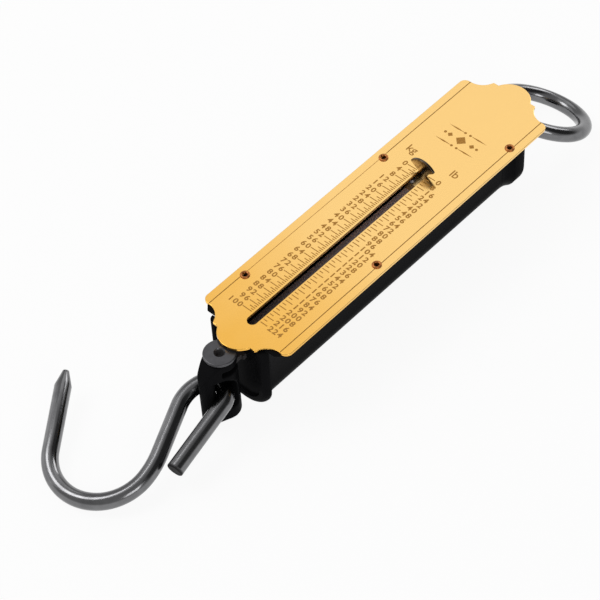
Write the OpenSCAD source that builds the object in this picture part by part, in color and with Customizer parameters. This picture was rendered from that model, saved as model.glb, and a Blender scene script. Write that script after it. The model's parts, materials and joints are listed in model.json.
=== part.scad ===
// Flat-faced spring balance for luggage, lying on its back.
// X runs across the face, Y along the scale towards the carrying ring, Z out of the face.
// The origin lies on the casing's flat back, under the middle of the face plate.

/* [Face plate] */
// Width of the face plate
plate_w = 45.3; // [44.5:0.1:52]
// Thickness of the plate
plate_t = 1; // [0.8:0.1:1.5]
// Radius of the four shoulder corners
shoulder_r = 3; // [1:0.5:4]
// Half width of the ornament's step at each end
step_hw = 11.3; // [10:0.1:11.8]
// Radius of the hollow cove beside each step
cove_r = 8; // [6.5:0.5:8.5]
// Height of the cove from the straight sides to the step
cove_h = 5.5; // [5:0.1:6]
// Height of the step above the cove
step_h = 0.3; // [0.2:0.1:1]
// Radius of the lobe at each end
lobe_r = 9.4; // [9:0.1:10]
// Height of the lobe's apex above the straight sides
lobe_h = 11.2; // [10.5:0.1:12]
// Width of the long slot
slot_w = 4.4; // [4:0.1:5]

/* [Scale] */
// Full load that the scale reads, in kilograms
full_load = 100; // [80:1:100]
// Length of scale for one kilogram
kilo_pitch = 0.991; // [0.9:0.001:0.999]
// Straight side of the plate below the last mark
foot_room = 8; // [7:0.5:12]
// Slot beyond the zero mark
slot_over_zero = 4.4; // [3:0.1:5]
// Slot beyond the last mark
slot_over_end = 5.3; // [4:0.1:6]

/* [Plate rivets] */
// Distance of each rivet from the centre line
rivet_x = 18.2; // [17.5:0.1:18.4]
// Distance of the outer rivets from the nearer shoulder
rivet_near = 20; // [15:0.5:25]
// Distance of the inner rivets from the nearer shoulder
rivet_far = 57.5; // [50:0.5:65]
// Radius of a rivet's rolled head
rivet_head_r = 2.1; // [2:0.1:2.5]
// Height of the rolled head
rivet_head_h = 0.6; // [0.4:0.1:1]
// Radius of a rivet's shank
rivet_shank_r = 1.5; // [1.2:0.1:1.6]
// Radius of the hole through a rivet
rivet_bore_r = 1; // [0.6:0.1:1.1]

/* [Casing] */
// Width of the trough
casing_w = 26; // [25.6:0.1:30]
// Depth of the trough below the plate
casing_depth = 35.5; // [35:0.5:40]
// Radius of the trough's long corners
casing_r = 11; // [9:0.5:11.5]
// Thickness of the trough's sheet
casing_t = 0.9; // [0.6:0.1:1]
// Distance of the trough's end from the plate's shoulder at the ring end
casing_short = 5; // [4:0.5:6]
// Trough beyond the plate's shoulder at the hook end
casing_over = 2; // [1:0.1:3]
// Half width across the two flanges under the plate
flange_hw = 20.6; // [20.2:0.1:21.5]
// Corner cut of the flanges
flange_cut = 2.8; // [1:0.1:4]

/* [Caps] */
// Stand-out of both caps beyond the trough
cap_lip = 2; // [1.5:0.1:2.5]
// Thickness of a cap's end wall
cap_wall = 1.5; // [1:0.1:2]
// Length of the lower cap's lip
low_lip_l = 3; // [2.8:0.1:4]
// Rounding of the lower cap's front edge
low_round = 2.7; // [1:0.1:2.8]
// Length of the upper cap's full lip
up_lip_l = 7; // [5:0.5:9]
// Length of the flare that runs up to the upper cap's lip
up_flare_l = 7; // [5:0.5:9]
// Rounding of the upper cap's end edge
up_round = 2.5; // [1:0.1:3]
// Length of the lower cap's spigot inside the trough
spigot_l = 6; // [4:0.5:8]
// Thickness of that spigot
spigot_t = 1.2; // [0.8:0.1:1.6]

/* [Pointer] */
// Radius of the pointer's half-moon head
pointer_r = 7.5; // [6.5:0.1:8]
// Half width of the head at its underside
pointer_hw = 6.1; // [5.5:0.1:7]
// Height of the head's underside above the plate, at its tips
pointer_tip_h = 4; // [3:0.1:5]
// Height of the neck between the plate and the head
pointer_neck_h = 0.8; // [0.6:0.1:2]
// Thickness of the pointer's sheet
pointer_t = 1.1; // [1:0.1:2]

/* [Drawbar] */
// Width of the drawbar
bar_w = 10; // [9:0.1:11]
// Thickness of the drawbar
bar_t = 2.5; // [2:0.1:3]
// Depth of the drawbar's upper face below the plate's face
bar_depth = 7.5; // [7.5:0.1:8]
// Half width of the tongue at the drawbar's end
tongue_hw = 3.9; // [3.5:0.1:4]
// Length of the slider block
slider_l = 11; // [9:0.5:12]
// Width of the slider block
slider_w = 10; // [8:0.5:11]
// Height of the slider block
slider_h = 4.5; // [4:0.1:4.8]
// Radius of the slider's rivets
slider_rivet_r = 1.1; // [0.8:0.1:1.3]

/* [Spring] */
// Thickness of the spring's wire
spring_wire = 3; // [2.8:0.05:3.05]
// Room between the coil and the trough's side walls
spring_side_gap = 0.6; // [0.5:0.1:1]
// Number of turns
spring_turns = 10.25; // [9.25:0.25:10.25]
// Gap between turns at which the coil is drawn
spring_turn_gap = 0.45; // [0.41:0.01:0.6]
// Length of the carrier's neck between the drawbar's block and the coil's flange
carrier_neck_l = 2.0375; // [1:0.0125:5]
// Height of the line of pull above the casing's back
pull_z = 19.8; // [19:0.1:20]

/* [Ring] */
// Thickness of the ring's wire
ring_wire = 6.7; // [6:0.1:6.7]
// Radius of the ring to the middle of its wire
ring_r = 19.75; // [19:0.25:22]
// Distance of the ring eye's hole from the upper cap
ring_eye_out = 11.4; // [11.4:0.1:14]
// Room between the ring's wire and the eye's hole, on the radius
ring_hole_clear = 0.45; // [0.4:0.05:1]
// Wall of metal round that hole
ring_eye_wall = 3.4; // [2.5:0.1:3.4]
// Width of the ring eye
ring_eye_w = 6; // [4:0.5:6]
// Radius of the ring eye's stem
stem_r = 3; // [2.5:0.1:3.2]

/* [Eye block] */
// Distance of the pivot pin from the lower cap's face
pin_out = 8.9; // [8.9:0.1:11]
// Radius of the pivot pin
pin_r = 2.5; // [2:0.1:2.8]
// Radius of the pin's disc head
disc_r = 6.7; // [6:0.1:7]
// Thickness of the disc head
disc_t = 1.2; // [1:0.1:1.5]
// Depth of the disc's upper face below the plate's face
disc_depth = 2; // [1.8:0.1:2.2]
// Radius of the eye block round the pin
block_r = 6.5; // [6:0.1:6.6]
// Radius of the eye's nose bar
nose_r = 3.2; // [2.8:0.1:3.3]
// Distance of the nose bar from the pin
nose_out = 8.6; // [8.6:0.1:8.8]
// Clear height of the eye's hole
eye_hole_h = 18; // [17:0.5:19]
// Bar of metal below the eye's hole
eye_foot_h = 6.5; // [5:0.1:6.5]

/* [Hook] */
// Thickness of the hook's wire
hook_wire = 7; // [6:0.1:7]
// Room between the hook's wire and the nose bar inside the hook's eye
hook_eye_clear = 0.5; // [0.5:0.05:0.6]
// Bend radius where the hook's eye runs out into its shank
hook_out_r = 15.8; // [14:0.1:18]
// Straight run of the shank
hook_shank_l = 21.6; // [18:0.1:26]
// Radius of the sweep from the shank into the bow
hook_sweep_r = 37.7; // [30:0.1:42]
// Length of the short leg
hook_leg_l = 32.5; // [28:0.5:36]
// Radius of the hook's big bow
hook_bow_r = 21.6; // [20:0.1:22]
// Length of the straight run up to the point
hook_point_l = 35.4; // [30:0.1:38]
// Length of the cone at the point
hook_cone_l = 7; // [5:0.5:9]

/* [Hidden] */
$fn = 64;

// Clearances: pieces fixed to each other, a shaft in its hole, and pieces that pass each other
fit = 0.05;
running = 0.05;
gap = 0.3;
// Overlap of solids that are joined into one
join = 0.5;

black = [0.07, 0.07, 0.075];
brass = [0.86, 0.66, 0.3];
steel = [0.62, 0.63, 0.65];
dark_steel = [0.34, 0.35, 0.37];

// Levels above the casing's back
plate_under = casing_depth;
plate_top = casing_depth + plate_t;
bar_top = plate_top - bar_depth;
bar_under = bar_top - bar_t;

// Spring: it fills the trough's width, and the plate is as long as the spring and the scale need
travel = full_load * kilo_pitch;
spring_d = casing_w - 2 * casing_t - spring_wire - 2 * spring_side_gap;
spring_pitch = spring_wire + spring_turn_gap;
carrier_flange_t = 2.4;
head_room = casing_short + gap + spring_wire + spring_turns * spring_pitch + gap
            + carrier_flange_t + carrier_neck_l + slider_l / 2;

// Places along the casing
straight_end = (head_room + travel + foot_room) / 2;
zero_y = straight_end - head_room;
casing_low = -straight_end - casing_over;
casing_high = straight_end - casing_short;
low_face = casing_low - low_lip_l;
up_face = casing_high + cap_wall;
slot_low = zero_y - travel - slot_over_end;
slot_high = zero_y + slot_over_zero;

// Middle of the cove's arc, which starts at the straight side's end and ends at the step
cove_x = step_hw + sqrt(cove_r * cove_r - (cove_r - cove_h) * (cove_r - cove_h));

// Trough: half width outside and the centre of its corner arcs
trough_hw = casing_w / 2;
corner_x = trough_hw - casing_r;

// Pointer's foot in the slider
foot_hw = 3.2;
foot_floor = 0.6;
foot_h = slider_h - foot_floor;
foot_into_neck = 2;
neck_hw = slot_w / 2 - gap;
pointer_rivet_r = 0.8;

// Slider, spring carrier and drawbar
slider_low = zero_y - slider_l / 2;
slider_high = zero_y + slider_l / 2;
slider_rivet_x = 3;
slider_rivet_in = 2;
slider_rivet_deep = 4;
slider_rivet_head_h = 0.7;
carrier_hw = 6;
carrier_flange_r = spring_d / 2 + 1;
carrier_plug_l = 10;
spring_rings = 8;
spring_sides = 6;
plug_clear = 0.2;
plug_r = spring_d / 2 * cos(180 / spring_rings) - spring_wire / 2 - plug_clear;

// Spring: centre line from its fixed end to its moving end
spring_fixed = casing_high - gap - spring_wire / 2;
spring_moving = spring_fixed - spring_turns * spring_pitch;
carrier_flange_high = spring_moving - spring_wire / 2 - gap;

// Rivets that hold the caps, on the casing's back: a domed head and one sunk flush
cap_rivet_r = 1;
cap_rivet_head_r = 1.9;
cap_rivet_head_h = 0.8;
cap_rivet_tail_out = 0.8;
cap_rivet_sunk_r = 1.4;
cap_rivet_sunk_h = 0.6;
up_rivet_in = 2.4;
low_rivet_y = casing_low + spigot_l / 2;
up_rivet_y = casing_high - up_rivet_in;

// Guide bush in the lower cap's window
bush_slot_clear = 0.15;
bush_wall = 1.4;
bush_flange = 1.5;
bush_flange_out = 1;

// Ring eye
ring_eye_y = up_face + ring_eye_out;
ring_hole_r = ring_wire / 2 + ring_hole_clear;
ring_eye_r = ring_hole_r + ring_eye_wall;
collar_r = 5.5;
collar_t = 1.5;
ring_eye_edge = 1.2;
ring_lift = 0.21;
ring_lean = asin((pull_z + cap_lip - ring_lift - ring_wire / 2) / (2 * ring_r));
washer_t = 1.2;
washer_r = 6.5;
nut_t = 4.8;
nut_across = 10;
anchor_l = 14;
anchor_pin_r = 1;

// Eye block
pin_y = low_face - pin_out;
disc_under = plate_top - disc_depth - disc_t;
pivot_washer_t = 0.4;
pivot_washer_r = 5;
block_top = disc_under - pivot_washer_t;
nose_y = pin_y - nose_out;
clevis_high = bar_top + gap;
clevis_low = bar_under - gap;
hole_roof = 1.9;
hook_clear = 0.25;
eye_hole_top = clevis_low - hole_roof;
eye_hole_low = eye_hole_top - eye_hole_h;
block_low = eye_hole_low - eye_foot_h;
hole_front = nose_y + nose_r;
hole_back = hole_front + hook_wire + 2 * hook_clear;
hole_r = hole_back - hole_front;
hole_corner_r = 2.5;
side_bite = 0.04;
nose_brow_r = 9;
nose_chin_r = 5;
pin_grip = 3;
pin_end = clevis_low - pin_grip;
tongue_room = 0.4;
tongue_shoulder = 1;
disc_edge_h = 0.3;
disc_edge_in = 0.4;
dimple_d = 1;
dimple_r = 2.4;
dimple_foot_r = 1.4;

// Hook: the middle of its wire at the top of its eye
hook_drop = 8.1;
hook_y = (hole_front + hole_back) / 2;
hook_z = eye_hole_top - hook_drop;

// Each row of the bow's table is a straight length, a bend radius and a bend angle
hook_eye_r = nose_r + hook_wire / 2 + hook_eye_clear;
hook_bow = [[0, hook_eye_r, -65.7], [0, hook_out_r, -46.2],
            [hook_shank_l, hook_sweep_r, 16.3], [0, hook_bow_r, 151],
            [hook_point_l - hook_cone_l, 0, 0]];
hook_leg = [[0, hook_eye_r, 83.2], [hook_leg_l, 0, 0]];
hook_tip_r = 1.2;
hook_step = 9;
hook_sides = 16;

// The hook leans until its bow comes down to the surface under the caps' lips
hook_reach = max([for (p = bent_path(hook_bow, [0, 0], 180)) p.y]);
hook_lean = asin((hook_z + cap_lip - hook_wire / 2) / hook_reach);

function spring_point(a) = [spring_d / 2 * cos(a), spring_fixed - spring_pitch * a / 360,
                            pull_z + spring_d / 2 * sin(a)];

// Least gap between one turn and the next, measured on points of both
spring_gap = min([for (a = [0 : 15 : 345]) for (b = [a + 330 : 5 : a + 390])
                  norm(spring_point(a) - spring_point(b))]) - spring_wire;
echo(least_gap_in_spring = spring_gap);

// Section of the trough, drawn out by u from its outer face
module trough_area(u, top) {
    translate([-trough_hw - u, casing_r]) square([casing_w + 2 * u, top - casing_r]);
    translate([-corner_x, -u]) square([2 * corner_x, casing_r + u]);
    for (side = [-1, 1]) translate([side * corner_x, casing_r]) circle(casing_r + u);
}

// Slab with the trough's section between two places along Y
module trough_slab(u, top, from, to) {
    translate([0, to, 0]) rotate([90, 0, 0]) linear_extrude(to - from) trough_area(u, top);
}

// Sweeps a profile round the trough: x is the distance out from its outer face, y the place
module round_trough(top) {
    for (side = [0, 1]) mirror([side, 0, 0]) {
        translate([0, 0, casing_r]) linear_extrude(top - casing_r)
            translate([trough_hw, 0]) children();
        translate([corner_x, 0, casing_r]) rotate([-90, 0, 0]) rotate_extrude(angle = 90)
            translate([casing_r, 0]) children();
    }
    translate([-corner_x, 0, casing_r]) rotate([0, 90, 0]) linear_extrude(2 * corner_x)
        translate([casing_r, 0]) children();
}

// Cylinder that runs along +Y from a point
module along_y(r, l, r_end) {
    rotate([-90, 0, 0]) cylinder(h = l, r1 = r, r2 = is_undef(r_end) ? r : r_end);
}

module plate_outline() {
    for (end = [0, 1]) mirror([0, end]) {
        translate([-step_hw, 0]) square([2 * step_hw, straight_end + cove_h + step_h]);
        translate([0, straight_end + lobe_h - lobe_r]) circle(lobe_r);
        for (side = [0, 1]) mirror([side, 0]) {
            difference() {
                translate([step_hw - join, 0])
                    square([cove_x - step_hw + join, straight_end + cove_h]);
                translate([cove_x, straight_end + cove_r]) circle(cove_r);
            }
            square([plate_w / 2 - shoulder_r, straight_end]);
            square([plate_w / 2, straight_end - shoulder_r]);
            translate([plate_w / 2 - shoulder_r, straight_end - shoulder_r]) circle(shoulder_r);
        }
    }
}

module slot_outline() {
    r = slot_w / 2;
    translate([0, slot_low + r]) circle(r);
    translate([0, slot_high - r]) circle(r);
    translate([-r, slot_low + r]) square([slot_w, slot_high - slot_low - slot_w]);
}

module at_plate_rivets() {
    for (turn = [0, 180]) rotate(turn) {
        translate([rivet_x, straight_end - rivet_near, 0]) children();
        translate([rivet_x, rivet_far - straight_end, 0]) children();
    }
}

module face_plate() {
    color(brass) difference() {
        translate([0, 0, plate_under]) linear_extrude(plate_t) difference() {
            plate_outline();
            slot_outline();
        }
        at_plate_rivets() cylinder(h = plate_top + join, r = rivet_shank_r + fit);
    }
}

// Tubular rivet: rolled head, shank and a thin clenched tail
module plate_rivets() {
    tail_z = plate_under - casing_t - rivet_head_h;
    color(brass) at_plate_rivets() difference() {
        union() {
            translate([0, 0, plate_top]) cylinder(h = rivet_head_h, r1 = rivet_head_r,
                                                  r2 = rivet_head_r - rivet_head_h);
            translate([0, 0, tail_z])
                cylinder(h = plate_top + rivet_head_h / 2 - tail_z, r = rivet_shank_r);
            translate([0, 0, tail_z]) cylinder(h = rivet_head_h, r = rivet_head_r - 2 * fit);
        }
        translate([0, 0, tail_z - join])
            cylinder(h = plate_top + rivet_head_h - tail_z + 2 * join, r = rivet_bore_r);
    }
}

module casing_rivet_holes() {
    at_plate_rivets() translate([0, 0, plate_under - casing_t - join])
        cylinder(h = casing_t + 2 * join, r = rivet_shank_r + fit);
    for (y = [low_rivet_y, up_rivet_y]) translate([0, y, -join])
        cylinder(h = casing_t + 2 * join, r = cap_rivet_r + fit);
}

module casing() {
    color(black) difference() {
        union() {
            round_trough(plate_under) translate([-casing_t, casing_low])
                square([casing_t, casing_high - casing_low]);
            for (side = [0, 1]) mirror([side, 0, 0])
                translate([0, 0, plate_under - casing_t]) linear_extrude(casing_t)
                    polygon([[trough_hw - casing_t, casing_low],
                             [flange_hw - flange_cut, casing_low],
                             [flange_hw, casing_low + flange_cut],
                             [flange_hw, casing_high - flange_cut],
                             [flange_hw - flange_cut, casing_high],
                             [trough_hw - casing_t, casing_high]]);
        }
        casing_rivet_holes();
    }
}

// Lip of the lower cap: a thick rim with a rounded front edge, and a spigot in the trough
module low_lip() {
    inner = -casing_t - spigot_t;
    translate([inner, low_face + low_round]) square([cap_lip - inner, low_lip_l - low_round]);
    translate([inner, low_face]) square([cap_lip - inner - low_round, low_round + fit]);
    intersection() {
        translate([cap_lip - low_round, low_face + low_round]) circle(low_round);
        translate([cap_lip - low_round - fit, low_face])
            square([low_round + fit, low_round + fit]);
    }
    translate([inner, casing_low - fit]) square([spigot_t - fit, spigot_l]);
}

module bush_window(clear) {
    translate([-bar_w / 2 - bush_wall - clear, low_face - 1, bar_under - bush_wall - clear])
        cube([bar_w + 2 * bush_wall + 2 * clear, low_lip_l + spigot_l + 1,
              bar_t + 2 * bush_wall + 2 * clear]);
}

module lower_cap() {
    color(black) difference() {
        union() {
            round_trough(plate_under) low_lip();
            trough_slab(-casing_t - spigot_t / 2, plate_under, low_face, low_face + cap_wall);
        }
        bush_window(fit);
        translate([0, low_rivet_y, 0])
            cylinder(h = casing_t + spigot_t + join, r = cap_rivet_r + fit);
        translate([-trough_hw - cap_lip, casing_low, plate_under - casing_t - fit])
            cube([casing_w + 2 * cap_lip, spigot_l + join, casing_t + join]);
    }
}

// Lip of the upper cap: a flare that rises to the lip, which ends in a rounded edge
module up_lip() {
    flare_r = (up_flare_l * up_flare_l + cap_lip * cap_lip) / (2 * cap_lip);
    lip_start = up_face - up_lip_l;
    difference() {
        translate([fit, lip_start - up_flare_l]) square([cap_lip - fit, up_flare_l + fit]);
        translate([flare_r, lip_start - up_flare_l]) circle(flare_r);
    }
    translate([fit, lip_start]) square([cap_lip - fit, up_lip_l - up_round]);
    translate([-casing_t - spigot_t, casing_high + fit])
        square([cap_lip + casing_t + spigot_t - up_round, cap_wall - fit]);
    intersection() {
        translate([cap_lip - up_round, up_face - up_round]) circle(up_round);
        translate([fit, up_face - up_round - fit]) square([cap_lip, up_round + fit]);
    }
    intersection() {
        translate([cap_lip - up_round, up_face - up_round]) circle(up_round);
        translate([cap_lip - up_round - fit, casing_high + fit]) square([cap_lip, cap_wall]);
    }
}

module upper_cap() {
    color(black) difference() {
        union() {
            round_trough(plate_under - casing_t - fit) up_lip();
            round_trough(plate_under) intersection() {
                up_lip();
                translate([-casing_t - spigot_t, casing_high + fit])
                    square([casing_t + spigot_t + cap_lip, cap_wall]);
            }
            trough_slab(-casing_t - spigot_t / 2, plate_under, casing_high + fit, up_face);
        }
        translate([0, casing_high - join, pull_z]) along_y(stem_r + fit, cap_wall + 2 * join);
        translate([0, up_rivet_y, -cap_lip - join])
            cylinder(h = cap_lip + casing_t, r = cap_rivet_r + fit);
        translate([0, up_rivet_y, -cap_lip]) sunk_head(fit);
    }
}

// Countersunk head of the upper cap's rivet, or its seat when drawn out
module sunk_head(out) {
    translate([0, 0, -out]) cylinder(h = cap_rivet_sunk_h + out, r1 = cap_rivet_sunk_r + out,
                                     r2 = cap_rivet_r);
}

// One domed rivet under the lower cap's spigot and one sunk flush in the upper cap's lip
module cap_rivets() {
    tail_r = cap_rivet_r + cap_rivet_tail_out;
    low_tail = casing_t + spigot_t + fit;
    up_tail = casing_t + fit;
    color(black) {
        translate([0, low_rivet_y, -cap_rivet_head_h - fit])
            cylinder(h = cap_rivet_head_h, r1 = cap_rivet_head_r - cap_rivet_head_h,
                     r2 = cap_rivet_head_r);
        translate([0, low_rivet_y, -cap_rivet_head_h])
            cylinder(h = cap_rivet_head_h + low_tail + join, r = cap_rivet_r);
        translate([0, low_rivet_y, low_tail]) cylinder(h = cap_rivet_head_h, r = tail_r);
        translate([0, up_rivet_y, -cap_lip]) sunk_head(0);
        translate([0, up_rivet_y, -cap_lip])
            cylinder(h = cap_lip + up_tail + join, r = cap_rivet_r);
        translate([0, up_rivet_y, up_tail]) cylinder(h = cap_rivet_head_h, r = tail_r);
    }
}

// Bush in the cap's window, with a flange behind the wall
module guide_bush() {
    low = bar_under - bush_wall;
    high = bar_top + bush_wall;
    half = bar_w / 2 + bush_wall;
    out = bush_flange_out;
    color(black) difference() {
        union() {
            translate([-half, low_face + gap, low])
                cube([2 * half, low_lip_l + bush_flange, high - low]);
            translate([-half - out, low_face + cap_wall + fit, low - out])
                cube([2 * half + 2 * out, bush_flange, high - low + 2 * out]);
        }
        translate([-bar_w / 2 - bush_slot_clear, low_face - 1, bar_under - bush_slot_clear])
            cube([bar_w + 2 * bush_slot_clear, low_lip_l + spigot_l,
                  bar_t + 2 * bush_slot_clear]);
    }
}

module pointer() {
    z = plate_top;
    foot = bar_top + slider_h - foot_h;
    color(brass) translate([0, zero_y + pointer_t / 2, 0]) rotate([90, 0, 0])
        linear_extrude(pointer_t) difference() {
            union() {
                intersection() {
                    translate([0, z]) circle(pointer_r);
                    polygon([[-neck_hw, z + pointer_neck_h], [neck_hw, z + pointer_neck_h],
                             [pointer_hw, z + pointer_tip_h], [pointer_hw, z + pointer_r],
                             [-pointer_hw, z + pointer_r], [-pointer_hw, z + pointer_tip_h]]);
                }
                translate([-neck_hw, foot]) square([2 * neck_hw, z + foot_into_neck - foot]);
                translate([-foot_hw, foot]) square([2 * foot_hw, foot_h - gap]);
            }
            translate([0, foot + foot_h / 2]) circle(pointer_rivet_r + fit);
        }
}

module pointer_rivet() {
    color(brass) translate([0, slider_low + fit, bar_top + slider_h - foot_h / 2])
        along_y(pointer_rivet_r, slider_l - 2 * fit);
}

module at_slider_rivets() {
    translate([-slider_rivet_x, slider_low + slider_rivet_in, 0]) children();
    translate([slider_rivet_x, slider_high - slider_rivet_in, 0]) children();
}

module slider() {
    color(brass) difference() {
        translate([-slider_w / 2, slider_low, bar_top])
            cube([slider_w, slider_l, slider_h]);
        translate([-foot_hw - fit, zero_y - pointer_t / 2 - fit,
                   bar_top + slider_h - foot_h - fit])
            cube([2 * foot_hw + 2 * fit, pointer_t + 2 * fit, foot_h + join]);
        translate([0, slider_low - 1, bar_top + slider_h - foot_h / 2])
            along_y(pointer_rivet_r + fit, slider_l + 2);
        at_slider_rivets() translate([0, 0, bar_top - 1])
            cylinder(h = slider_h + 2, r = slider_rivet_r + fit);
    }
}

module slider_rivets() {
    color(steel) at_slider_rivets() {
        translate([0, 0, bar_under - slider_rivet_deep])
            cylinder(h = slider_rivet_deep + bar_t + slider_h + join, r = slider_rivet_r);
        translate([0, 0, bar_top + slider_h + fit])
            cylinder(h = slider_rivet_head_h, r1 = slider_rivet_r + slider_rivet_head_h,
                     r2 = slider_rivet_r);
    }
}

module drawbar() {
    tongue_start = pin_y + block_r + tongue_shoulder;
    color(steel) difference() {
        translate([0, 0, bar_under]) linear_extrude(bar_t) {
            translate([-bar_w / 2, tongue_start])
                square([bar_w, slider_high - tongue_start]);
            translate([-tongue_hw, pin_y]) square([2 * tongue_hw, tongue_start - pin_y + fit]);
            translate([0, pin_y]) circle(tongue_hw);
        }
        translate([0, pin_y, bar_under - 1]) cylinder(h = bar_t + 2, r = pin_r + running);
        at_slider_rivets() translate([0, 0, bar_under - 1])
            cylinder(h = bar_t + 2, r = slider_rivet_r + fit);
    }
}

// Block under the drawbar, with a flange and a plug for the spring's moving end
module spring_carrier() {
    flange_low = carrier_flange_high - carrier_flange_t;
    color(dark_steel) difference() {
        union() {
            translate([-carrier_hw, slider_low, pull_z - carrier_hw])
                cube([2 * carrier_hw, slider_high - slider_low,
                      bar_under - pull_z + carrier_hw]);
            translate([0, slider_high - join, pull_z])
                along_y(carrier_hw, flange_low - slider_high + 2 * join);
            translate([0, flange_low, pull_z]) along_y(carrier_flange_r, carrier_flange_t);
            translate([0, carrier_flange_high - join, pull_z])
                along_y(plug_r, carrier_plug_l + join);
        }
        at_slider_rivets() translate([0, 0, bar_under - slider_rivet_deep - fit])
            cylinder(h = slider_rivet_deep + join, r = slider_rivet_r + fit);
    }
}

// Faces of a closed tube of rings of points
function tube_faces(rings, sides) = concat(
    [for (i = [0 : rings - 2]) for (j = [0 : sides - 1])
        let (k = (j + 1) % sides, p = i * sides, q = p + sides)
        each [[p + j, q + j, q + k], [p + j, q + k, p + k]]],
    [for (j = [1 : sides - 2]) [0, j, j + 1]],
    let (top = (rings - 1) * sides) [for (j = [1 : sides - 2]) [top, top + j + 1, top + j]]);

// One unbroken tube along the coil
module main_spring() {
    steps = spring_turns * spring_rings;
    rise = atan(spring_pitch / (PI * spring_d));
    points = [for (i = [0 : steps]) for (j = [0 : spring_sides - 1])
        let (a = i * 360 / spring_rings, b = j * 360 / spring_sides,
             out = [cos(a), 0, sin(a)],
             along = [-sin(rise) * sin(a), cos(rise), sin(rise) * cos(a)])
        spring_point(a) + spring_wire / 2 * (cos(b) * out + sin(b) * along)];
    color(dark_steel) polyhedron(points, tube_faces(steps + 1, spring_sides));
}

// Plug in the coil's fixed end, screwed on the ring eye's stem
module spring_anchor() {
    high = casing_high - washer_t - nut_t - 2 * fit;
    color(dark_steel) difference() {
        translate([0, high - anchor_l, pull_z]) along_y(plug_r, anchor_l);
        translate([0, high - anchor_l - 1, pull_z]) along_y(stem_r + fit, anchor_l + 2);
        translate([-plug_r - 1, high - anchor_l / 2, pull_z]) rotate([0, 90, 0])
            cylinder(h = 2 * plug_r + 2, r = anchor_pin_r + fit);
    }
}

module anchor_pin() {
    high = casing_high - washer_t - nut_t - 2 * fit;
    color(steel) translate([-plug_r, high - anchor_l / 2, pull_z]) rotate([0, 90, 0])
        cylinder(h = 2 * plug_r, r = anchor_pin_r);
}

module ring_eye() {
    stem_low = casing_high - washer_t - nut_t - anchor_l;
    pin_place = casing_high - washer_t - nut_t - 2 * fit - anchor_l / 2;
    edge = ring_eye_edge;
    color(dark_steel) difference() {
        union() {
            translate([0, ring_eye_y, pull_z]) rotate([0, 90, 0]) rotate_extrude()
                polygon([[ring_hole_r, -ring_eye_w / 2 + edge / 2],
                         [ring_hole_r + edge / 2, -ring_eye_w / 2],
                         [ring_eye_r - edge, -ring_eye_w / 2], [ring_eye_r, -ring_eye_w / 2 + edge],
                         [ring_eye_r, ring_eye_w / 2 - edge], [ring_eye_r - edge, ring_eye_w / 2],
                         [ring_hole_r + edge / 2, ring_eye_w / 2],
                         [ring_hole_r, ring_eye_w / 2 - edge / 2]]);
            translate([0, stem_low, pull_z])
                along_y(stem_r, ring_eye_y - ring_hole_r - ring_eye_wall / 2 - stem_low);
            translate([0, up_face + fit, pull_z]) along_y(collar_r, collar_t);
            translate([0, up_face + collar_t, pull_z])
                along_y(collar_r, ring_eye_out - ring_eye_r - collar_t + join, stem_r);
        }
        translate([-stem_r - 1, pin_place, pull_z]) rotate([0, 90, 0])
            cylinder(h = 2 * stem_r + 2, r = anchor_pin_r + fit);
    }
}

module ring_eye_washer() {
    color(steel) translate([0, casing_high - washer_t, pull_z]) difference() {
        along_y(washer_r, washer_t);
        translate([0, -1, 0]) along_y(stem_r + fit, washer_t + 2);
    }
}

module ring_eye_nut() {
    color(steel) translate([0, casing_high - washer_t - nut_t - fit, pull_z]) difference() {
        rotate([-90, 0, 0]) cylinder(h = nut_t, d = nut_across / cos(30), $fn = 6);
        translate([0, -1, 0]) along_y(stem_r + fit, nut_t + 2);
    }
}

module ring() {
    color(steel) translate([0, ring_eye_y, pull_z]) rotate([-ring_lean, 0, 0])
        translate([0, ring_r, 0]) rotate_extrude() translate([ring_r, 0]) circle(ring_wire / 2);
}

// Pin with a disc head, countersunk in the middle
module pivot_pin() {
    color(dark_steel) translate([0, pin_y, 0]) difference() {
        union() {
            translate([0, 0, disc_under]) cylinder(h = disc_t - disc_edge_h, r = disc_r);
            translate([0, 0, disc_under + disc_t - disc_edge_h - fit])
                cylinder(h = disc_edge_h + fit, r1 = disc_r, r2 = disc_r - disc_edge_in);
            translate([0, 0, pin_end]) cylinder(h = disc_under + join - pin_end, r = pin_r);
        }
        translate([0, 0, disc_under + disc_t - dimple_d])
            cylinder(h = dimple_d + fit, r1 = dimple_foot_r, r2 = dimple_r);
    }
}

module pivot_washer() {
    color(brass) translate([0, pin_y, block_top + fit / 2]) difference() {
        cylinder(h = pivot_washer_t - fit, r = pivot_washer_r);
        translate([0, 0, -1]) cylinder(h = 3, r = pin_r + fit);
    }
}

// Eye block before its side is shaped: a round boss and a round nose, with straight sides
module block_column(h) {
    turn = asin((block_r - nose_r) / nose_out);
    boss = block_r - side_bite;
    nose = nose_r - side_bite;
    cylinder(h = h, r = block_r);
    translate([0, -nose_out, 0]) cylinder(h = h, r = nose_r);
    linear_extrude(h) polygon([[boss * cos(turn), -boss * sin(turn)],
             [nose * cos(turn), -nose_out - nose * sin(turn)],
             [-nose * cos(turn), -nose_out - nose * sin(turn)],
             [-boss * cos(turn), -boss * sin(turn)]]);
}

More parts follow.
